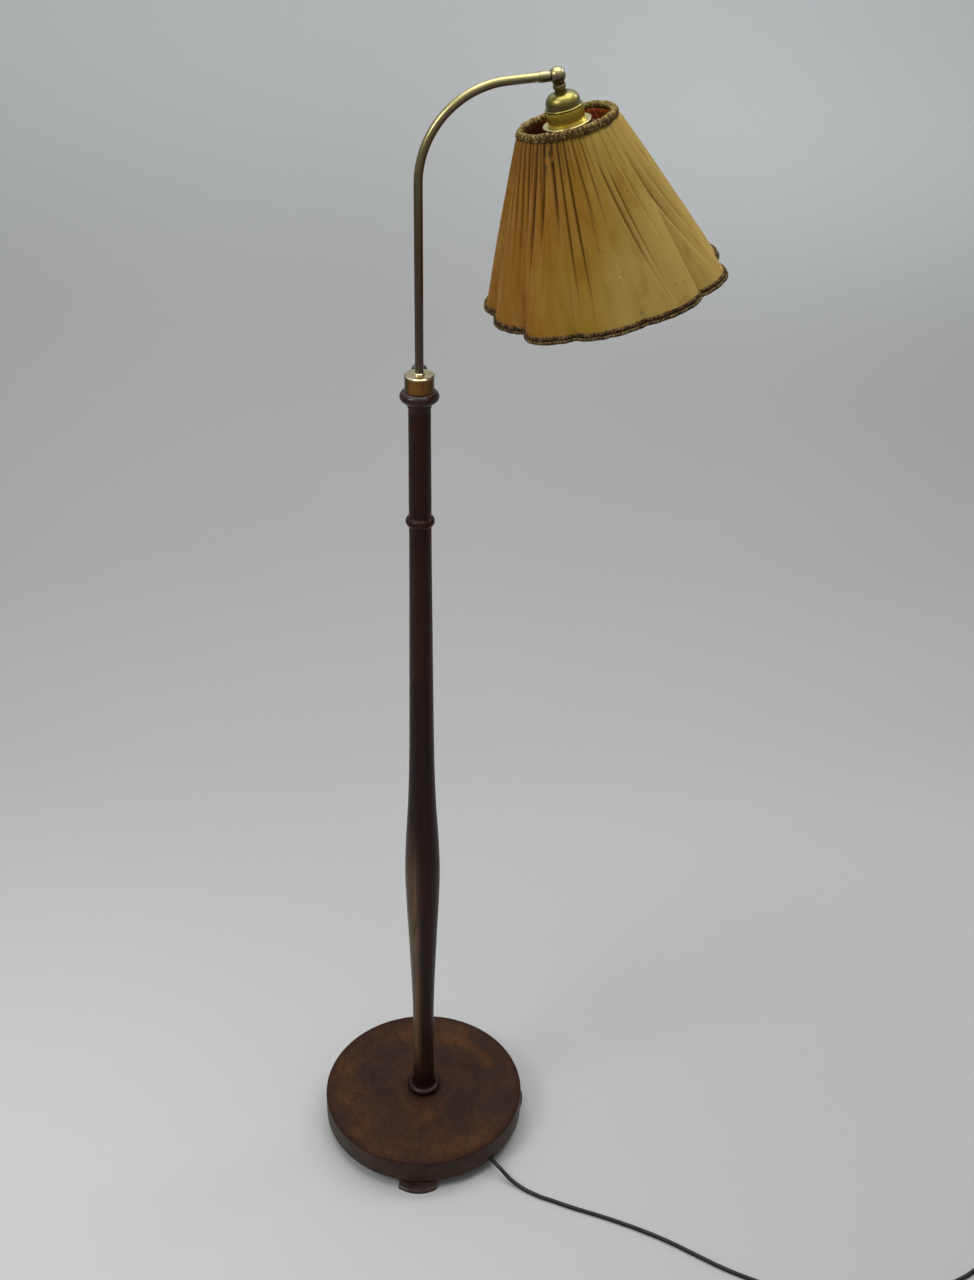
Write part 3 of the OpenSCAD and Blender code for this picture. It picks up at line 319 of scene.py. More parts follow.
# How far the cover lies outside the wires' middle, and the lining inside it, at the top and
# at the foot; how thick the cover is; and how far down the axis each begins
CLEAR_TOP = 1.75
CLEAR_FOOT = 2.5
CLOTH_T = 0.7
COVER_TOP = 46.6
LINING_TOP = 50.4


def cosd(a):
    return np.cos(np.radians(a))


def sind(a):
    return np.sin(np.radians(a))


def lobe(a):
    """How far the lower wire stands out past its notches at azimuth a, in degrees."""
    flat = 1 - FRONT_FLAT * np.maximum(0, cosd(a - FRONT_AT)) ** 2
    return LOBE_OUT * np.abs(sind(LOBES / 2 * (a + LOBE_TURN))) ** LOBE_ROUND * flat


def rim_r(a):
    """Radius of the lower wire: bent out of true, and dented on two sides."""
    r = NOTCH_R + lobe(a) + AWAY * cosd(a) + ASIDE * sind(a)
    for deep, at, wide in DENTS:
        r = r - deep * np.exp(-(((a - at + 540) % 360 - 180) / wide) ** 2)
    return r


def frame_r(d, a):
    """Radius of the cone between the top ring and the lower wire, d mm down the axis."""
    t = (d - HANG) / DEPTH
    return TOP_R * (1 - t) + rim_r(a) * t


def clear_of_wires(t):
    """How far a cloth lies from the wires' middle, t of the way down."""
    return CLEAR_TOP * (1 - t) + CLEAR_FOOT * t


def cone_points(r, a, d):
    """Points in mm in the shade's own frame: radius, azimuth and distance down its axis."""
    return np.stack([r * cosd(a), r * sind(a), -d + 0 * a], -1).reshape(-1, 3)


def store(o, name, values):
    at = o.data.attributes.new(name, "FLOAT", "POINT")
    at.data.foreach_set("value", np.asarray(values, np.float32).ravel())


def shade_object(name, points, faces, paint, extra):
    """A piece of the shade, from points in its own frame, which are kept as its "local"."""
    p = points / 1000
    o = mesh_object(name, p @ SHADE[:3, :3].T + SHADE[:3, 3], faces, paint, "shade")
    at = o.data.attributes.new("local", "FLOAT_VECTOR", "POINT")
    at.data.foreach_set("vector", p.astype(np.float32).ravel())
    for key, value in extra.items():
        store(o, key, value)
    return o


# Folds of the cover: azimuth at the top and at the foot, depth in mm, where along the
# height the fold begins and ends, its width in mm, and how dark it lies with dust and painted shade
FOLDS = [(-175, -173, 1.6, 0.0, 0.8, 1.1, 0.7), (-168, -165, 2.0, 0.0, 0.85, 1.1, 0.8),
         (-160, -160, 2.2, 0.0, 0.8, 1.2, 0.9), (-152, -151, 2.6, 0.0, 0.65, 1.2, 1.0),
         (-141, -149, 3.4, 0.0, 0.9, 1.5, 1.0), (-132, -141, 3.4, 0.0, 0.7, 1.5, 1.0),
         (-124, -122, 3.2, 0.0, 0.6, 1.5, 1.0), (-117, -115, 2.6, 0.0, 1.15, 1.3, 0.8),
         (-110, -107.5, 2.8, 0.0, 1.15, 1.4, 0.9), (-101, -91, 2.6, 0.0, 0.65, 1.5, 0.7),
         (-98.5, -98, 1.8, 0.25, 0.85, 1.4, 0.5), (-103, -108, 1.6, 0.4, 1.1, 1.3, 0.5),
         (-92, -85, 2.4, 0.0, 0.65, 1.6, 0.6), (-84, -67, 3.0, 0.05, 1.15, 1.7, 0.8),
         (-77, -65, 2.8, 0.1, 1.15, 1.7, 0.7), (-65, -54, 2.0, 0.1, 0.85, 1.7, 0.4),
         (-57, -32, 3.0, 0.1, 1.05, 2.0, 0.75), (-48, -24, 2.8, 0.2, 1.1, 1.9, 0.6),
         (-131, -138, 1.4, 0.35, 1.05, 1.2, 0.5), (-145, -141, 1.2, 0.4, 1.05, 1.1, 0.5),
         (-129, -131, 1.2, 0.3, 0.85, 1.2, 0.4), (-161, -160, 1.0, 0.5, 1.05, 1.1, 0.35),
         (-150, -157, 1.2, 0.5, 0.95, 1.2, 0.4), (-136.5, -134, 1.8, 0.0, 0.4, 0.9, 0.9),
         (-146.5, -150, 1.8, 0.0, 0.35, 0.9, 0.8), (-113.5, -112, 1.4, 0.0, 0.35, 0.9, 0.6),
         (-105.5, -103, 1.4, 0.0, 0.3, 0.9, 0.5), (-96, -90, 1.4, 0.0, 0.35, 1.0, 0.4),
         (-88, -78, 1.4, 0.0, 0.4, 1.0, 0.4), (-80.5, -72, 1.2, 0.0, 0.3, 1.0, 0.35),
         (-70, -60, 1.4, 0.0, 0.45, 1.1, 0.35), (-61, -50, 1.2, 0.0, 0.4, 1.1, 0.3),
         (-52, -42, 1.4, 0.0, 0.5, 1.2, 0.3), (-41, -31, 1.6, 0.0, 0.7, 1.3, 0.4),
         (-33, -25, 1.8, 0.0, 0.9, 1.4, 0.5), (-25, -20, 1.8, 0.0, 0.8, 1.4, 0.5),
         (-17, -14, 2.0, 0.0, 1.05, 1.4, 0.6), (-9, -8, 1.8, 0.0, 0.8, 1.4, 0.5)]
back = -1.0
while back < 183:
    FOLDS.append((back, back + rng.uniform(-3, 3), rng.uniform(1.8, 3.2), 0.0, rng.uniform(0.5, 1.15),
                  rng.uniform(1.2, 1.6), rng.uniform(0.5, 0.9)))
    back += rng.uniform(5.5, 9)


def pleats(a, t, folds):
    """Depth of the folds in mm below the smooth cloth, and how dark they lie, 0 to 1, as painted
    shade, with dust on the cover. Each is a knife pleat: a sharp edge on one side, and a slow rise on
    the other."""
    depth, dark = np.zeros_like(a), np.zeros_like(a)
    r = TOP_R + (NOTCH_R - TOP_R) * t
    for top, foot, deep, start, end, width, shade in folds:
        off = (a - (top + (foot - top) * t) + 180) % 360 - 180
        mm = np.radians(off) * r
        share = 1 - step((t - 0.35 * end) / (0.65 * end))
        if start > 0:
            share = share * step((t - start) / 0.2)
        w = width * (1 + 0.9 * t)
        slow = np.exp(-np.maximum(mm, 0) / (1.25 * w))
        sharp = np.exp(-(np.minimum(mm, 0) / (0.55 * w)) ** 2)
        crest = np.exp(-((mm + 1.5 * w) / w) ** 2)
        depth += deep * share * (slow * sharp - 0.25 * crest)
        # painted shade, darkest at the fold's sharp edge
        core = np.exp(-np.maximum(mm, 0) / (0.8 * w)) * np.exp(-(np.minimum(mm, 0) / (0.45 * w)) ** 2)
        dark = np.maximum(dark, core * share * shade)
    return depth, dark


def cloth_shell(name, r_of, levels, cols, thick, paint):
    """A closed thin shell: a face of cloth and its back, joined at both edges."""
    d, a = np.meshgrid(levels, np.linspace(-180, 180, cols, endpoint=False), indexing="ij")
    r, extra = r_of(d, a)
    front = cone_points(r, a, d)
    rear = cone_points(r - thick, a, d).reshape(len(levels), cols, 3)[::-1].reshape(-1, 3)
    extra = {key: np.concatenate([v, v[::-1]]) for key, v in extra.items()}
    return shade_object(name, np.concatenate([front, rear]),
                        grid_faces(2 * len(levels), cols, wrap_rows=True), paint, extra)


# Tears in the cloth, painted near-black for the shade seen through them, and orange threads
# on the cloth: azimuth, place down its height, width in degrees, and height as a share
TEARS = [(-132.4, 0.03, 0.8, 0.035), (-126, 0.055, 0.8, 0.02), (-131, 0.125, 1.3, 0.02),
        (-124, 0.11, 1.2, 0.012)]
THREADS = [(-130.5, 0.09, 1.6, 0.01), (-124, 0.083, 0.7, 0.012)]
# A pale curved scuff: its azimuth, bend, and where down the height it begins, turns and ends
SCUFF_AT = -90.5
SCUFF_BEND = 600
SCUFF_FROM, SCUFF_MID, SCUFF_TO = 0.63, 0.705, 0.79


def spots(a, t, places):
    """1 in the middle of soft round patches on the cloth, 0 away from them."""
    return np.maximum.reduce([np.exp(-((a - at) / wide) ** 2 - ((t - down) / high) ** 2)
                              for at, down, wide, high in places])


def scuff(a, t):
    arc = SCUFF_AT + SCUFF_BEND * (t - SCUFF_MID) ** 2
    along = step((t - SCUFF_FROM) / 0.04) * step((SCUFF_TO - t) / 0.04)
    return np.exp(-((a - arc) / 0.5) ** 2) * along


def cover_r(d, a):
    """Radius of the cover's outer face, and what its paint needs to know. The cloth is
    drawn in under the top trim and bellies out below it."""
    t = np.clip((d - HANG) / DEPTH, 0, 1)
    depth, dark = pleats(a, t, FOLDS)
    base = frame_r(d, a) + clear_of_wires(t) + CLOTH_T
    tuck = step((d - COVER_TOP) / 9)
    r = base + (1.5 * np.sin(np.pi * t) + 1.5) * tuck - depth * (0.4 + 0.6 * tuck)
    marks = {"fold": dark, "down": t, "painted_shading_mask": spots(a, t, TEARS), "thread": spots(a, t, THREADS),
             "scuff": scuff(a, t)}
    return np.maximum(r, base - 0.3), marks


cloth = Paint("shade_cloth", Roughness=0.85, Sheen_Weight=0.05, Sheen_Roughness=0.4,
              Specular_IOR_Level=0.12)
lining_paint = Paint("lining_cloth", Roughness=0.9, Specular_IOR_Level=0.25)
trim_paint = Paint("top_trim_cord", Roughness=0.85, Specular_IOR_Level=0.12)
upper_paint = Paint("lower_trim_braid", Roughness=0.85, Specular_IOR_Level=0.1)
lower_paint = Paint("lower_trim_beads", Roughness=0.85, Specular_IOR_Level=0.1)

levels = np.concatenate([np.linspace(COVER_TOP, 70, 14), np.linspace(74, FOOT + 1, 38)])
cover = cloth_shell("shade_cloth_cover", cover_r, levels, 1400, CLOTH_T, cloth)
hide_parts("shade_cover")

LINING_FOLDS = []
back = -180.0
while back < 178:
    LINING_FOLDS.append((back, back, rng.uniform(1.2, 2), 0.0, rng.uniform(0.9, 1.4), 1.4, 1.0))
    back += rng.uniform(5, 8)


def lining_r(d, a):
    t = np.clip((d - HANG) / DEPTH, 0, 1)
    depth, dark = pleats(a, t, LINING_FOLDS)
    base = frame_r(d, a) - clear_of_wires(t)
    return base - 0.2 - np.clip(depth, 0, 1.8), {"fold": dark, "down": t}


lining = cloth_shell("shade_cloth_lining", lining_r, np.linspace(LINING_TOP, FOOT + 1, 30), 900, 0.6,
                     lining_paint)
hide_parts("shade_lining")


# ------------------------------------------------------------------ trims
TOP_TRIM_R = 48.8
TOP_TRIM_DOWN = 46.0
TOP_TRIM_TIP = 2.5
TOP_TRIM_LOOPS = 58
LOW_TRIM_SPREAD = 1.85
# From the cloth's inner face to the middle of the lower cords
LOW_TRIM_OUT = 2.85


def wobble(u, seed, amount, waves=(2, 3, 5, 7, 11)):
    """A sum of sine waves with random heights and phases, for u from 0 to 1 round a ring."""
    r = np.random.RandomState(seed)
    total = sum(r.uniform(-1, 1) * np.sin(2 * math.pi * (w * u + r.uniform())) for w in waves)
    return amount * total / 2


def corded_ring(name, ring, paint, cols, sides, radius):
    """A roll that follows a ring of points: ring(u) gives its middle and its outward
    direction; radius(u, v) the radius in mm at v round the roll."""
    u = np.linspace(0, 1, cols, endpoint=False)
    v = np.linspace(0, 2 * math.pi, sides, endpoint=False)
    mid, outward = ring(u)
    uu, vv = np.meshgrid(u, v, indexing="ij")
    r, extra = radius(uu, vv)
    down = np.array([0.0, 0, -1])
    p = mid[:, None, :] + r[..., None] * (np.cos(vv)[..., None] * outward[:, None, :]
                                          + np.sin(vv)[..., None] * down)
    extra["under"], extra["inner"] = np.sin(vv), -np.cos(vv)
    return shade_object(name, p.reshape(-1, 3), grid_faces(cols, sides, wrap_rows=True), paint,
                        extra)


def top_ring(u):
    """The top trim's middle, a little uneven, and higher in front than at the back."""
    a = 360 * u
    r = TOP_TRIM_R + wobble(u, 3, 0.6) + wobble(u, 14, 0.4, (14, 19, 26))
    d = TOP_TRIM_DOWN + TOP_TRIM_TIP * sind(a) + wobble(u, 4, 0.5) + wobble(u, 15, 0.4, (12, 17, 29))
    return cone_points(r, a, d), cone_points(1, a, 0)


def top_radius(u, v):
    """Loops of gimp that lean over the roll, with uneven gaps between them. The roll is
    thicker in front, and hangs further down outside than inside."""
    phase = 2 * math.pi * TOP_TRIM_LOOPS * u + wobble(u, 5, 3.0, (9, 13, 17, 23))
    loops = np.abs(np.sin(phase / 2 + 0.9 * np.sin(v))) ** 0.55
    cross = np.abs(np.sin(phase + 1.5 * v + 0.7)) ** 0.8
    lump = wobble(u, 6, 0.3, (8, 13, 21, 34, 45))
    lump = lump + wobble(u + 0.013 * np.sin(v), 16, 0.3, (61, 74, 90))
    rib = 0.65 * loops + 0.35 * cross
    front = -sind(360 * u)
    skirt = (0.9 + 0.6 * front) * np.exp(-((v - 0.85) / 0.5) ** 2)
    return 2.85 + 0.4 * front + 0.9 * rib + lump + skirt, {"rib": rib}


def lower_ring(side, lift):
    """The middle of one of the two cords along the lower edge: side is -1 for the upper
    cord and 1 for the lower, lift how far it wanders up and down."""
    def ring(u):
        a = 360 * u - 180
        slope = (frame_r(FOOT, a) - TOP_R) / DEPTH
        at = FOOT - 1.3 + side * LOW_TRIM_SPREAD
        r = frame_r(FOOT, a) + CLEAR_FOOT + LOW_TRIM_OUT + slope * (at - FOOT) + wobble(u, 8, 0.3)
        wave = wobble(u, 9, 0.5) + wobble(u, 17 + side, lift, (24, 37, 53, 71))
        return cone_points(r, a, at - wave), cone_points(1, a, 0)
    return ring


def cord_radius(side, ribs, thin, rib_h):
    """Radius of such a cord: thin between its slanting ribs, rib_h more on them."""
    def radius(u, v):
        phase = 2 * math.pi * ribs * u + side * v
        rib = np.abs(np.sin(phase / 2)) ** 0.7
        lump = wobble(u, 11 + side, 0.22, (27, 41, 66, 95))
        return thin + rib_h * rib + lump, {"rib": rib}
    return radius


top_trim = corded_ring("top_trim_roll", top_ring, trim_paint, 1840, 24, top_radius)
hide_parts("top_trim")
low_a = corded_ring("lower_trim_upper_cord", lower_ring(-1, 0.65), upper_paint,
                    3000, 12, cord_radius(1, 190, 1.8, 0.5))
low_b = corded_ring("lower_trim_lower_cord", lower_ring(1, 0.4), lower_paint,
                    3000, 12, cord_radius(-1, 270, 1.55, 0.5))
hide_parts("lower_trim")


# ------------------------------------------------------------------ cloth paints
def paint_cloth():
    """Old gold silk: darker orange on the left and paler on the right, partly its own tone and
    partly painted light; lighter low down except at the far left, darker near the top on the left, and
    dark in the folds from dust and painted shade."""
    p = cloth
    fold, down = p.data("fold"), p.data("down")
    x = p.axis("X", p.vector("local"))
    weave = p.noise(1100, 2, 0.5, p.place(of="local"))
    big = p.noise(13, 4, 0.6, p.place((1, 1, 0.4), of="local"), 0.4)
    streak = p.noise(70, 5, 0.6, p.place((1, 1, 0.07), of="local"))
    # partly painted light: darker on the left and paler on the right
    side = p.math("ADD", p.span(x, -0.075, 0.07), p.span(big, 0.3, 0.7, -0.16, 0.16))
    low = p.math("MULTIPLY", p.span(down, 0.35, 0.95, 0.0, 0.42), p.span(x, -0.1, -0.045))
    side = p.math("ADD", side, low, clamp=True)
    col = p.ramp(side, (0.0, (0.245, 0.1, 0.0095)), (0.45, (0.29, 0.165, 0.02)),
                 (0.75, (0.35, 0.235, 0.05)), (1.0, (0.395, 0.27, 0.067)))
    col = p.mix(p.span(streak, 0.4, 0.7, 0.0, 0.3), col, (0.34, 0.22, 0.06))
    col = p.mix(p.span(streak, 0.5, 0.3, 0.0, 0.35), col, (0.19, 0.09, 0.01))
    top = p.math("MULTIPLY", p.span(down, 0.3, 0.0), p.span(x, 0.01, -0.03))
    col = p.mix(p.math("MULTIPLY", top, 0.45), col, (0.13, 0.055, 0.014))
    # dust and painted shade in the folds
    fold_dust_and_shade = p.mix(p.span(x, -0.03, 0.03), (0.042, 0.013, 0.0022), (0.13, 0.055, 0.005))
    col = p.mix(p.span(fold, 0.12, 0.9, 0.0, 0.92), col, fold_dust_and_shade)
    col = p.mix(p.span(weave, 0.35, 0.7, 0.0, 0.1), col, (0.16, 0.09, 0.015))
    flecks = p.noise(150, 2, 0.4, p.place(of="local"))
    col = p.mix(p.span(flecks, 0.72, 0.78, 0.0, 0.5), col, (0.09, 0.04, 0.008))
    # painted shade: the tears are near-black for the shade inside them
    col = p.mix(p.data("painted_shading_mask"), col, (0.022, 0.008, 0.004))
    col = p.mix(p.data("thread"), col, (0.42, 0.16, 0.02))
    broken = p.span(p.noise(260, 3, 0.6, p.place(of="local")), 0.4, 0.6)
    col = p.mix(p.math("MULTIPLY", p.data("scuff"), broken), col, (0.5, 0.42, 0.24))
    p.set(Base_Color=col)
    p.bump(weave, 0.1, 0.0004)
    p.bsdf.inputs["Sheen Tint"].default_value = (1.0, 0.85, 0.5, 1.0)


def paint_lining():
    """Rusty cloth, painted near-black on the left for the shade that falls inside, and darker in its
    folds as painted shade.
    """
    p = lining_paint
    fold = p.data("fold")
    weave = p.noise(900, 2, 0.5, p.place(of="local"))
    stripe = p.noise(30, 4, 0.6, p.place((1, 1, 0.1), of="local"))
    rust = p.ramp(stripe, (0.3, (0.38, 0.08, 0.016)), (0.7, (0.56, 0.17, 0.038)))
    # painted shade: near-black on the left of the lining
    painted_shade_tone = p.ramp(stripe, (0.3, (0.05, 0.014, 0.006)), (0.7, (0.12, 0.032, 0.01)))
    col = p.mix(p.span(p.axis("X", p.vector("local")), -0.035, 0.03), painted_shade_tone, rust)
    # painted shade in the folds
    col = p.mix(p.span(fold, 0.15, 0.9, 0.0, 0.9), col, (0.05, 0.01, 0.004))
    p.set(Base_Color=col)
    p.bump(weave, 0.1, 0.0004)


def paint_trim(p, light, mid, dark, scale):
    """Silk cord, with a painted highlight where it stands out and on its inner side, and painted shade
    between the ribs and underneath.
    """
    flecks = p.noise(scale, 5, 0.7, p.place(of="local"))
    patch = p.noise(scale * 0.25, 3, 0.6, p.place(of="local"))
    # painted highlight on the ribs and the inner side, painted shade underneath
    tone = p.math("MULTIPLY", p.data("rib"), 0.5)
    tone = p.math("ADD", tone, p.math("MULTIPLY", p.data("under"), -0.08))
    tone = p.math("ADD", tone, p.math("MULTIPLY", p.data("inner"), 0.12))
    tone = p.math("ADD", tone, p.span(flecks, 0.3, 0.7, -0.38, 0.36))
    tone = p.math("ADD", tone, p.span(patch, 0.35, 0.65, -0.15, 0.2))
    p.set(Base_Color=p.ramp(tone, (0.12, dark), (0.48, mid), (0.92, light)))
    p.bump(p.noise(scale * 4, 3, 0.6, p.place(of="local")), 0.5, 0.0006)


paint_cloth()
paint_lining()
paint_trim(trim_paint, (0.36, 0.28, 0.1), (0.165, 0.11, 0.033), (0.055, 0.026, 0.01), 420)
paint_trim(upper_paint, (0.2, 0.13, 0.05), (0.08, 0.044, 0.016), (0.022, 0.0105, 0.0045), 380)
paint_trim(lower_paint, (0.26, 0.19, 0.08), (0.12, 0.078, 0.03), (0.035, 0.018, 0.008), 420)


# ------------------------------------------------------------------ woods
def paint_column():
    """Near-black polish over a reddish brown wood, lighter low down, with a painted reflection lighter
    still low down on one side.
    """
    p = Paint("wood_column", Specular_IOR_Level=0.12)
    at = p.node("TexCoord", "Object")
    x, z = p.axis("X", at), p.axis("Z", at)
    grain = p.noise(46, 8, 0.62, p.place((1, 1, 0.03)), 0.6)
    fine = p.noise(420, 4, 0.6, p.place((1, 1, 0.02)))
    cloud = p.noise(9, 4, 0.6, p.place((1, 1, 0.5)))
    col = p.ramp(grain, (0.34, (0.0085, 0.0042, 0.0036)), (0.5, (0.019, 0.0075, 0.005)),
                 (0.7, (0.04, 0.0135, 0.0065)))
    red = p.math("MULTIPLY", p.span(cloud, 0.42, 0.62), p.span(z, 0.62, 0.75))
    col = p.mix(p.math("MULTIPLY", red, 0.6), col, (0.05, 0.014, 0.006))
    low = p.math("MULTIPLY", p.span(z, 0.56, 0.4), p.span(z, 0.085, 0.15))
    # painted reflection: a lighter patch low down on one side of the column
    painted_shading_mask = p.math("MULTIPLY", low, p.span(x, 0.001, -0.011))
    painted_shading_mask = p.math("MULTIPLY", painted_shading_mask, p.span(grain, 0.3, 0.6, 0.6, 1.0))
    col = p.mix(p.span(z, 0.5, 0.3, 0.0, 0.35), col, (0.036, 0.018, 0.012))
    col = p.mix(p.math("MULTIPLY", painted_shading_mask, 0.85), col, (0.165, 0.1, 0.055))
    col = p.mix(p.span(fine, 0.35, 0.6, 0.5, 0.0), col, (0.009, 0.0045, 0.0036))
    foot = p.span(z, 0.1, 0.075)
    col = p.mix(foot, col, (0.012, 0.0045, 0.003))
    p.set(Base_Color=col, Roughness=p.span(grain, 0.3, 0.7, 0.26, 0.4))
    turned = p.math("MAXIMUM", p.span(z, 1.085, 1.092), p.math("MULTIPLY", foot, 0.5))
    p.set(Coat_Weight=p.math("MULTIPLY", turned, 0.3), Coat_Roughness=0.1)
    p.bump(fine, 0.12, 0.0004)
    return p


def paint_foot():
    p = Paint("wood_foot", Specular_IOR_Level=0.25)
    grain = p.noise(60, 7, 0.6, p.place((1, 0.2, 1), (0, 0, 0.4)), 0.5)
    col = p.ramp(grain, (0.32, (0.016, 0.0085, 0.007)), (0.55, (0.04, 0.02, 0.0145)),
                 (0.75, (0.07, 0.03, 0.02)))
    p.set(Base_Color=col, Roughness=p.span(grain, 0.3, 0.7, 0.24, 0.36))
    p.bump(p.noise(400, 4), 0.12, 0.0004)
    return p


# Places on the foot plate, in metres: dark stains, and where the polish is rubbed off
STAINS = [(0.04, -0.055), (0.055, -0.02), (-0.07, 0.02), (-0.04, 0.065), (0.03, 0.06), (0.095, 0.025),
          (0.1, -0.035), (-0.06, -0.015), (-0.115, -0.065), (0.08, 0.08)]
RUBS = [(0.055, -0.11), (0.035, -0.12), (0.08, -0.1), (-0.085, -0.055), (-0.095, -0.08), (-0.115, 0.03),
        (-0.1, -0.015), (0.005, -0.05), (-0.055, -0.12), (-0.025, 0.095), (0.045, 0.09)]
RUBBED_ARC = [(0.07, 0.07), (0.09, 0.045), (0.045, 0.085)]


def near_places(p, at, places, reach):
    """1 at the places, falling to 0 at their reach, with ragged edges."""
    total = None
    for x, y in places:
        gap = p.node("VectorMath", "Value", {"operation": "DISTANCE"}, i0=at, i1=(x, y, 0.053))
        one = p.span(gap, reach * 0.25, reach, 1.0, 0.0)
        total = one if total is None else p.math("MAXIMUM", total, one)
    return total


def paint_plate():
    """Worn brown plate: dark stains round the column, painted shade right at its foot, rubbed orange
    near its rim, and a painted reflection on its sides.
    """
    p = Paint("wood_plate", Specular_IOR_Level=0.06)
    at = p.node("TexCoord", "Object")
    x, y, z = p.axis("X", at), p.axis("Y", at), p.axis("Z", at)
    radius = p.math("SQRT", p.math("ADD", p.math("MULTIPLY", x, x), p.math("MULTIPLY", y, y)))
    big = p.noise(15, 3, 0.55, None, 0.5)
    mid = p.noise(34, 6, 0.6, p.place((1, 0.7, 1), (0, 0, 0.5)), 0.6)
    ragged = p.noise(55, 5, 0.65, None, 0.8)
    fine = p.noise(500, 5, 0.6, p.place((1, 0.15, 1), (0, 0, 0.5)))
    drift = p.node("VectorMath", 0, {"operation": "SCALE"}, Scale=0.05,
                   i0=p.node("VectorMath", 0, {"operation": "SUBTRACT"}, i1=(0.5, 0.5, 0.5),
                             i0=p.noise(22, 4, 0.6, None, 0.0, "Color")))
    loose = p.node("VectorMath", 0, {"operation": "ADD"}, i0=at, i1=drift)
    col = p.ramp(mid, (0.32, (0.031, 0.0145, 0.0085)), (0.52, (0.044, 0.0205, 0.0112)),
                 (0.72, (0.06, 0.027, 0.0135)))
    mottle = p.noise(170, 5, 0.65, p.place((1, 0.6, 1), (0, 0, 0.5)), 0.4)
    col = p.mix(p.span(mottle, 0.5, 0.7, 0.0, 0.5), col, (0.085, 0.036, 0.018))
    col = p.mix(p.span(mottle, 0.5, 0.3, 0.0, 0.5), col, (0.022, 0.0095, 0.0065))
    stain = p.math("MULTIPLY", near_places(p, loose, STAINS, 0.036), p.span(ragged, 0.3, 0.6, 0.4, 1.0))
    col = p.mix(p.math("MULTIPLY", stain, 0.7), col, (0.021, 0.013, 0.0115))
    # painted shade: darker in a band right round the column's foot
    near = p.math("MULTIPLY", p.span(radius, 0.034, 0.024), 0.6)
    col = p.mix(near, col, (0.02, 0.0095, 0.007))
    rubbed = p.math("MULTIPLY", near_places(p, loose, RUBS, 0.034), p.span(ragged, 0.36, 0.62))
    col = p.mix(p.math("MULTIPLY", rubbed, 0.5), col, (0.105, 0.041, 0.013))
    arc = p.math("MULTIPLY", near_places(p, loose, RUBBED_ARC, 0.028), p.span(radius, 0.085, 0.097))
    arc = p.math("MULTIPLY", arc, p.span(radius, 0.113, 0.102))
    col = p.mix(p.math("MULTIPLY", arc, 0.42), col, (0.11, 0.045, 0.014))
    rim = p.math("MULTIPLY", p.span(radius, 0.127, 0.1345), p.span(big, 0.3, 0.7, 0.35, 0.8))
    col = p.mix(rim, col, (0.03, 0.0125, 0.008))
    col = p.mix(p.span(fine, 0.35, 0.65, 0.22, 0.0), col, (0.02, 0.009, 0.006))
    edge = p.mix(p.span(mid, 0.35, 0.65), (0.036, 0.021, 0.0155), (0.06, 0.037, 0.028))
    # painted reflection: the side is lighter and greyer to the left and right
    painted_side_shading = p.span(p.math("ABSOLUTE", x), 0.04, 0.12, 0.0, 0.6)
    edge = p.mix(painted_side_shading, edge, (0.082, 0.066, 0.054))
    col = p.mix(p.span(z, 0.0505, 0.0475), col, edge)
    p.set(Base_Color=col, Roughness=p.span(mid, 0.3, 0.7, 0.42, 0.55))
    p.bump(fine, 0.15, 0.0004)
    return p


def paint_cleat():
    p = Paint("wood_cleat")
    grain = p.noise(60, 7, 0.6, p.place((1, 0.2, 1)), 0.5)
    p.set(Base_Color=p.ramp(grain, (0.3, (0.03, 0.015, 0.01)), (0.7, (0.1, 0.05, 0.026))),
          Roughness=p.span(grain, 0.3, 0.7, 0.5, 0.65))
    p.bump(grain, 0.2, 0.0004)
    return p


paint_plate().give("base_disc")
paint_column().give("column")
paint_foot().give("foot_front", "foot_right", "foot_back")
paint_cleat().give("lead_cleat")


# ------------------------------------------------------------------ metals and the rest
def metal(name, base, aged, rough, share=0.5, scale=60, streak=(1, 1, 1), height=None, coat=0.0,
          under=None):
    """Aged metal in two tones; height gives a third tone and the two levels between which
    the metal turns to it going down; coat is how much clear lacquer is left on it; under is
    the tone of the painted shade on the faces that look down."""
    p = Paint(name, Metallic=1.0, Coat_Weight=coat, Coat_Roughness=0.15)
    cloud = p.noise(scale, 6, 0.65, p.place(streak), 0.5)
    flecks = p.noise(scale * 7, 4, 0.6)
    col = p.mix(p.span(cloud, 0.35, 0.7, 0.0, share), base, aged)
    if height:
        low, z_from, z_to = height
        low = p.mix(p.span(cloud, 0.35, 0.7, 0.0, share), low, [0.35 * c for c in low])
        col = p.mix(p.span(p.axis("Z"), z_from, z_to), col, low)
    col = p.mix(p.span(flecks, 0.58, 0.75, 0.0, share * 0.7), col, aged)
    if under:
        # painted shade on the faces that look down
        facing = p.axis("Z", p.node("TexCoord", "Normal"))
        col = p.mix(p.span(facing, 0.45, -0.35, 0.0, 0.92), col, under)
    p.set(Base_Color=col, Roughness=p.span(cloud, 0.3, 0.7, rough[0], rough[1]))
    p.bump(p.noise(scale * 12, 3), 0.06, 0.0003)
    return p


def paint_collar():
    """Bright on top and brown round its side, with painted shade darkening it to the left and right."""
    p = metal("brass_collar", (0.68, 0.58, 0.37), (0.3, 0.18, 0.08), (0.16, 0.26), 0.6, 110,
              (1, 1, 0.1), ((0.27, 0.13, 0.038), 1.1292, 1.1282))
    # painted shade: darker where the side faces left or right
    painted_side_shading = p.math("ABSOLUTE", p.axis("X", p.node("TexCoord", "Normal")))
    col = p.bsdf.inputs["Base Color"].links[0].from_socket
    p.set(Base_Color=p.mix(p.span(painted_side_shading, 0.45, 0.95, 0.0, 0.75), col, (0.06, 0.028, 0.012)))
    return p


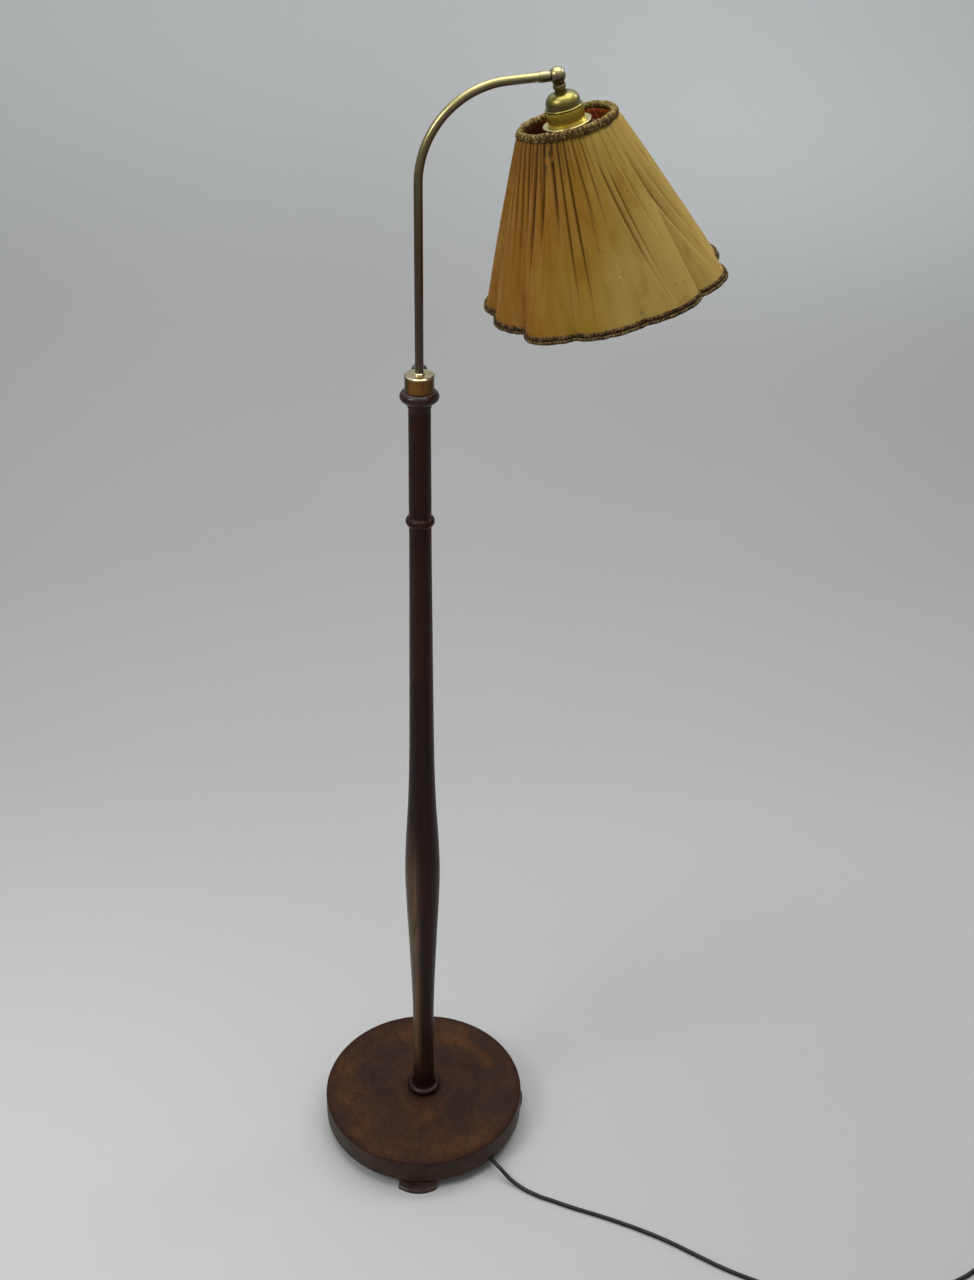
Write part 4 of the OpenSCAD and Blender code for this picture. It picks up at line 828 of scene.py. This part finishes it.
paint_collar().give("collar")
metal("brass_bush", (0.8, 0.7, 0.46), (0.5, 0.38, 0.2), (0.16, 0.26), 0.3).give("collar_bush")
# painted shade: the arm turns darker going down from its bend, and on its underside
metal("brass_arm", (0.3, 0.26, 0.09), (0.16, 0.115, 0.038), (0.24, 0.36), 0.55, 50, (1, 1, 0.3),
      ((0.085, 0.052, 0.02), 1.43, 1.22), 0.9, (0.085, 0.045, 0.02)).give("arm_tube")
metal("brass_end", (0.28, 0.235, 0.1), (0.12, 0.082, 0.034), (0.26, 0.38), 0.6, 90, coat=0.8,
      under=(0.075, 0.042, 0.018)).give(
    "arm_ferrule", "knuckle_ball", "knuckle_pivot")
metal("brass_neck", (0.2, 0.145, 0.075), (0.07, 0.042, 0.02), (0.3, 0.42), 0.8, 130).give(
    "knuckle_tongue")
metal("brass_cap", (0.21, 0.175, 0.023), (0.13, 0.1, 0.013), (0.28, 0.4), 0.45, 70,
      coat=0.6, under=(0.09, 0.06, 0.01)).give("lampholder_cap")
# painted light: the skirt is given a far lighter brass than the cap, standing in for the light it
# catches
metal("brass_skirt_painted_bright", (0.86, 0.69, 0.13), (0.52, 0.37, 0.06), (0.26, 0.38), 0.5, 70).give(
    "lampholder_skirt")
metal("brass_ring", (0.62, 0.54, 0.24), (0.4, 0.32, 0.11), (0.24, 0.34), 0.4, 70).give(
    "shade_ring_upper", "shade_ring_lower")
metal("brass_washer", (0.13, 0.1, 0.03), (0.05, 0.035, 0.012), (0.35, 0.5), 0.6, 90).give("cap_washer")
metal("brass_inner", (0.6, 0.47, 0.24), (0.36, 0.24, 0.11), (0.3, 0.42), 0.5).give(
    "thread_shell", "centre_contact", "guide_bush", "tube_end_nut", "tube_stop_ring", "clamp_screw",
    "foot_screws", "cleat_screws")
metal("steel_screws", (0.5, 0.5, 0.51), (0.26, 0.24, 0.22), (0.3, 0.45), 0.5).give(
    "weight_screws", "terminal_screws")
metal("iron", (0.13, 0.125, 0.12), (0.09, 0.05, 0.03), (0.5, 0.7), 0.6, 40).give("base_weight")
metal("old_wire", (0.07, 0.055, 0.04), (0.04, 0.026, 0.016), (0.5, 0.65), 0.6).give(
    "shade_spider", "shade_frame")
metal("pins", (0.75, 0.68, 0.46), (0.55, 0.45, 0.28), (0.2, 0.3), 0.3).give("plug_pins")
metal("bulb_cap", (0.65, 0.65, 0.65), (0.45, 0.45, 0.45), (0.28, 0.4), 0.3).give("bulb_cap")


def plain(name, light, dark, rough, scale, bump=0.1, **values):
    p = Paint(name, **values)
    n = p.noise(scale, 5, 0.6)
    p.set(Base_Color=p.ramp(n, (0.3, dark), (0.7, light)), Roughness=p.span(n, 0.3, 0.7, *rough))
    p.bump(p.noise(scale * 8, 3), bump, 0.0003)
    return p


plain("knob", (0.013, 0.012, 0.01), (0.007, 0.006, 0.005), (0.14, 0.22), 60).give("clamp_knob")
plain("rubber", (0.02, 0.02, 0.021), (0.011, 0.011, 0.011), (0.4, 0.55), 90).give(
    "strain_relief", "lead_in_stand", "lead_in_arm")
plain("plug_black", (0.02, 0.02, 0.022), (0.013, 0.013, 0.014), (0.35, 0.5), 120).give("plug_body")
plain("tie_black", (0.03, 0.03, 0.03), (0.018, 0.018, 0.018), (0.45, 0.6), 150).give("cord_tie")
plain("porcelain", (0.86, 0.84, 0.77), (0.8, 0.77, 0.68), (0.12, 0.2), 40, 0.03,
      Coat_Weight=0.6).give("lampholder_insert")
plain("bulb_glass", (0.93, 0.92, 0.87), (0.9, 0.88, 0.82), (0.25, 0.35), 30, 0.03,
      Transmission_Weight=0.35).give("bulb_glass")

for o in nodes.values():
    smooth(o, 32)


# ------------------------------------------------------------------ room and light
def paint_sweep():
    """Pale paper with painted light: lighter near the camera and high up, a little darker on the right.
    """
    p = Paint("studio_sweep", Roughness=0.95, Specular_IOR_Level=0.1)
    at = p.node("TexCoord", "Object")
    x, y, z = p.axis("X", at), p.axis("Y", at), p.axis("Z", at)
    # painted light over the plain paper
    tone = p.math("ADD", p.span(y, -0.5, 1.0, 0.0, 0.5), p.span(z, 0.2, 1.05, 0.0, 0.5))
    col = p.ramp(tone, (0.0, (0.62, 0.625, 0.615)), (0.2, (0.58, 0.585, 0.575)),
                 (0.5, (0.475, 0.482, 0.475)), (1.0, (0.615, 0.63, 0.635)))
    col = p.mix(p.math("MULTIPLY", p.span(x, -0.6, 0.7), p.span(y, 1.0, 0.2)), col, (0.5, 0.5, 0.495))
    col = p.mix(p.math("MULTIPLY", p.span(x, -0.2, 1.1), p.span(z, 0.1, 0.8)), col, (0.71, 0.725, 0.73))
    cloud = p.noise(1.2, 2, 0.5)
    p.set(Base_Color=p.mix(p.span(cloud, 0.3, 0.7, 0.0, 0.06), col, (0.62, 0.63, 0.63)))
    return p


SWEEP_R, SWEEP_FROM, SWEEP_STEPS = 1.6, 1.6, 24
profile = [(-4.0, 0.0)]
for k in range(SWEEP_STEPS + 1):
    turned = math.pi / 2 * k / SWEEP_STEPS
    profile.append((SWEEP_FROM + SWEEP_R * math.sin(turned), SWEEP_R * (1 - math.cos(turned))))
profile.append((SWEEP_FROM + SWEEP_R, 2.6))
sweep = mesh_object("studio_sweep", [(x, y, z) for y, z in profile for x in (-6.0, 6.0)],
                    [(2 * i, 2 * i + 1, 2 * i + 3, 2 * i + 2) for i in range(len(profile) - 1)],
                    paint_sweep())


def paint_world():
    """An even light on the object. Seen straight, or in metal and glass, it is a pale room
    that is brighter overhead."""
    world = bpy.data.worlds.new("studio")
    scene.world = world
    world.use_nodes = True
    tree = world.node_tree
    way = tree.nodes.new("ShaderNodeTexCoord")
    parts = tree.nodes.new("ShaderNodeSeparateXYZ")
    sky = tree.nodes.new("ShaderNodeMapRange")
    path = tree.nodes.new("ShaderNodeLightPath")
    seen = [tree.nodes.new("ShaderNodeMath") for _ in range(2)]
    strength = tree.nodes.new("ShaderNodeMapRange")
    tree.links.new(way.outputs["Generated"], parts.inputs[0])
    tree.links.new(parts.outputs["Z"], sky.inputs["Value"])
    sky.interpolation_type = "SMOOTHSTEP"
    for key, value in {"From Min": 0.15, "From Max": 0.85, "To Min": 0.4, "To Max": 1.2}.items():
        sky.inputs[key].default_value = value
    for n in seen:
        n.operation = "MAXIMUM"
    tree.links.new(path.outputs["Is Camera Ray"], seen[0].inputs[0])
    tree.links.new(path.outputs["Is Glossy Ray"], seen[0].inputs[1])
    tree.links.new(seen[0].outputs[0], seen[1].inputs[0])
    tree.links.new(path.outputs["Is Transmission Ray"], seen[1].inputs[1])
    tree.links.new(seen[1].outputs[0], strength.inputs["Value"])
    strength.inputs["To Min"].default_value = 0.3
    tree.links.new(sky.outputs[0], strength.inputs["To Max"])
    ground = tree.nodes["Background"]
    ground.inputs[0].default_value = (0.95, 0.98, 1.0, 1.0)
    tree.links.new(strength.outputs[0], ground.inputs[1])


paint_world()


def lamp(name, at, target, size, power, colour=(1, 1, 1)):
    data = bpy.data.lights.new(name, "AREA")
    data.shape, data.size, data.size_y = "RECTANGLE", size[0], size[1]
    data.energy, data.color = power, colour
    o = bpy.data.objects.new(name, data)
    scene.collection.objects.link(o)
    o.location = at
    o.rotation_euler = (Vector(target) - Vector(at)).to_track_quat("-Z", "Y").to_euler()


lamp("overhead", (0.1, 0.3, 3.4), (0.1, 0, 0), (2.6, 2.4), 66)
lamp("key", (-2.0, -1.3, 2.9), (0.05, 0, 0.9), (1.2, 1.2), 33)
lamp("kicker", (1.8, 0.9, 2.7), (0.15, 0, 1.3), (0.7, 0.7), 9)

scene.view_settings.view_transform = "Standard"

# ------------------------------------------------------------------ end
bpy.context.view_layer.update()
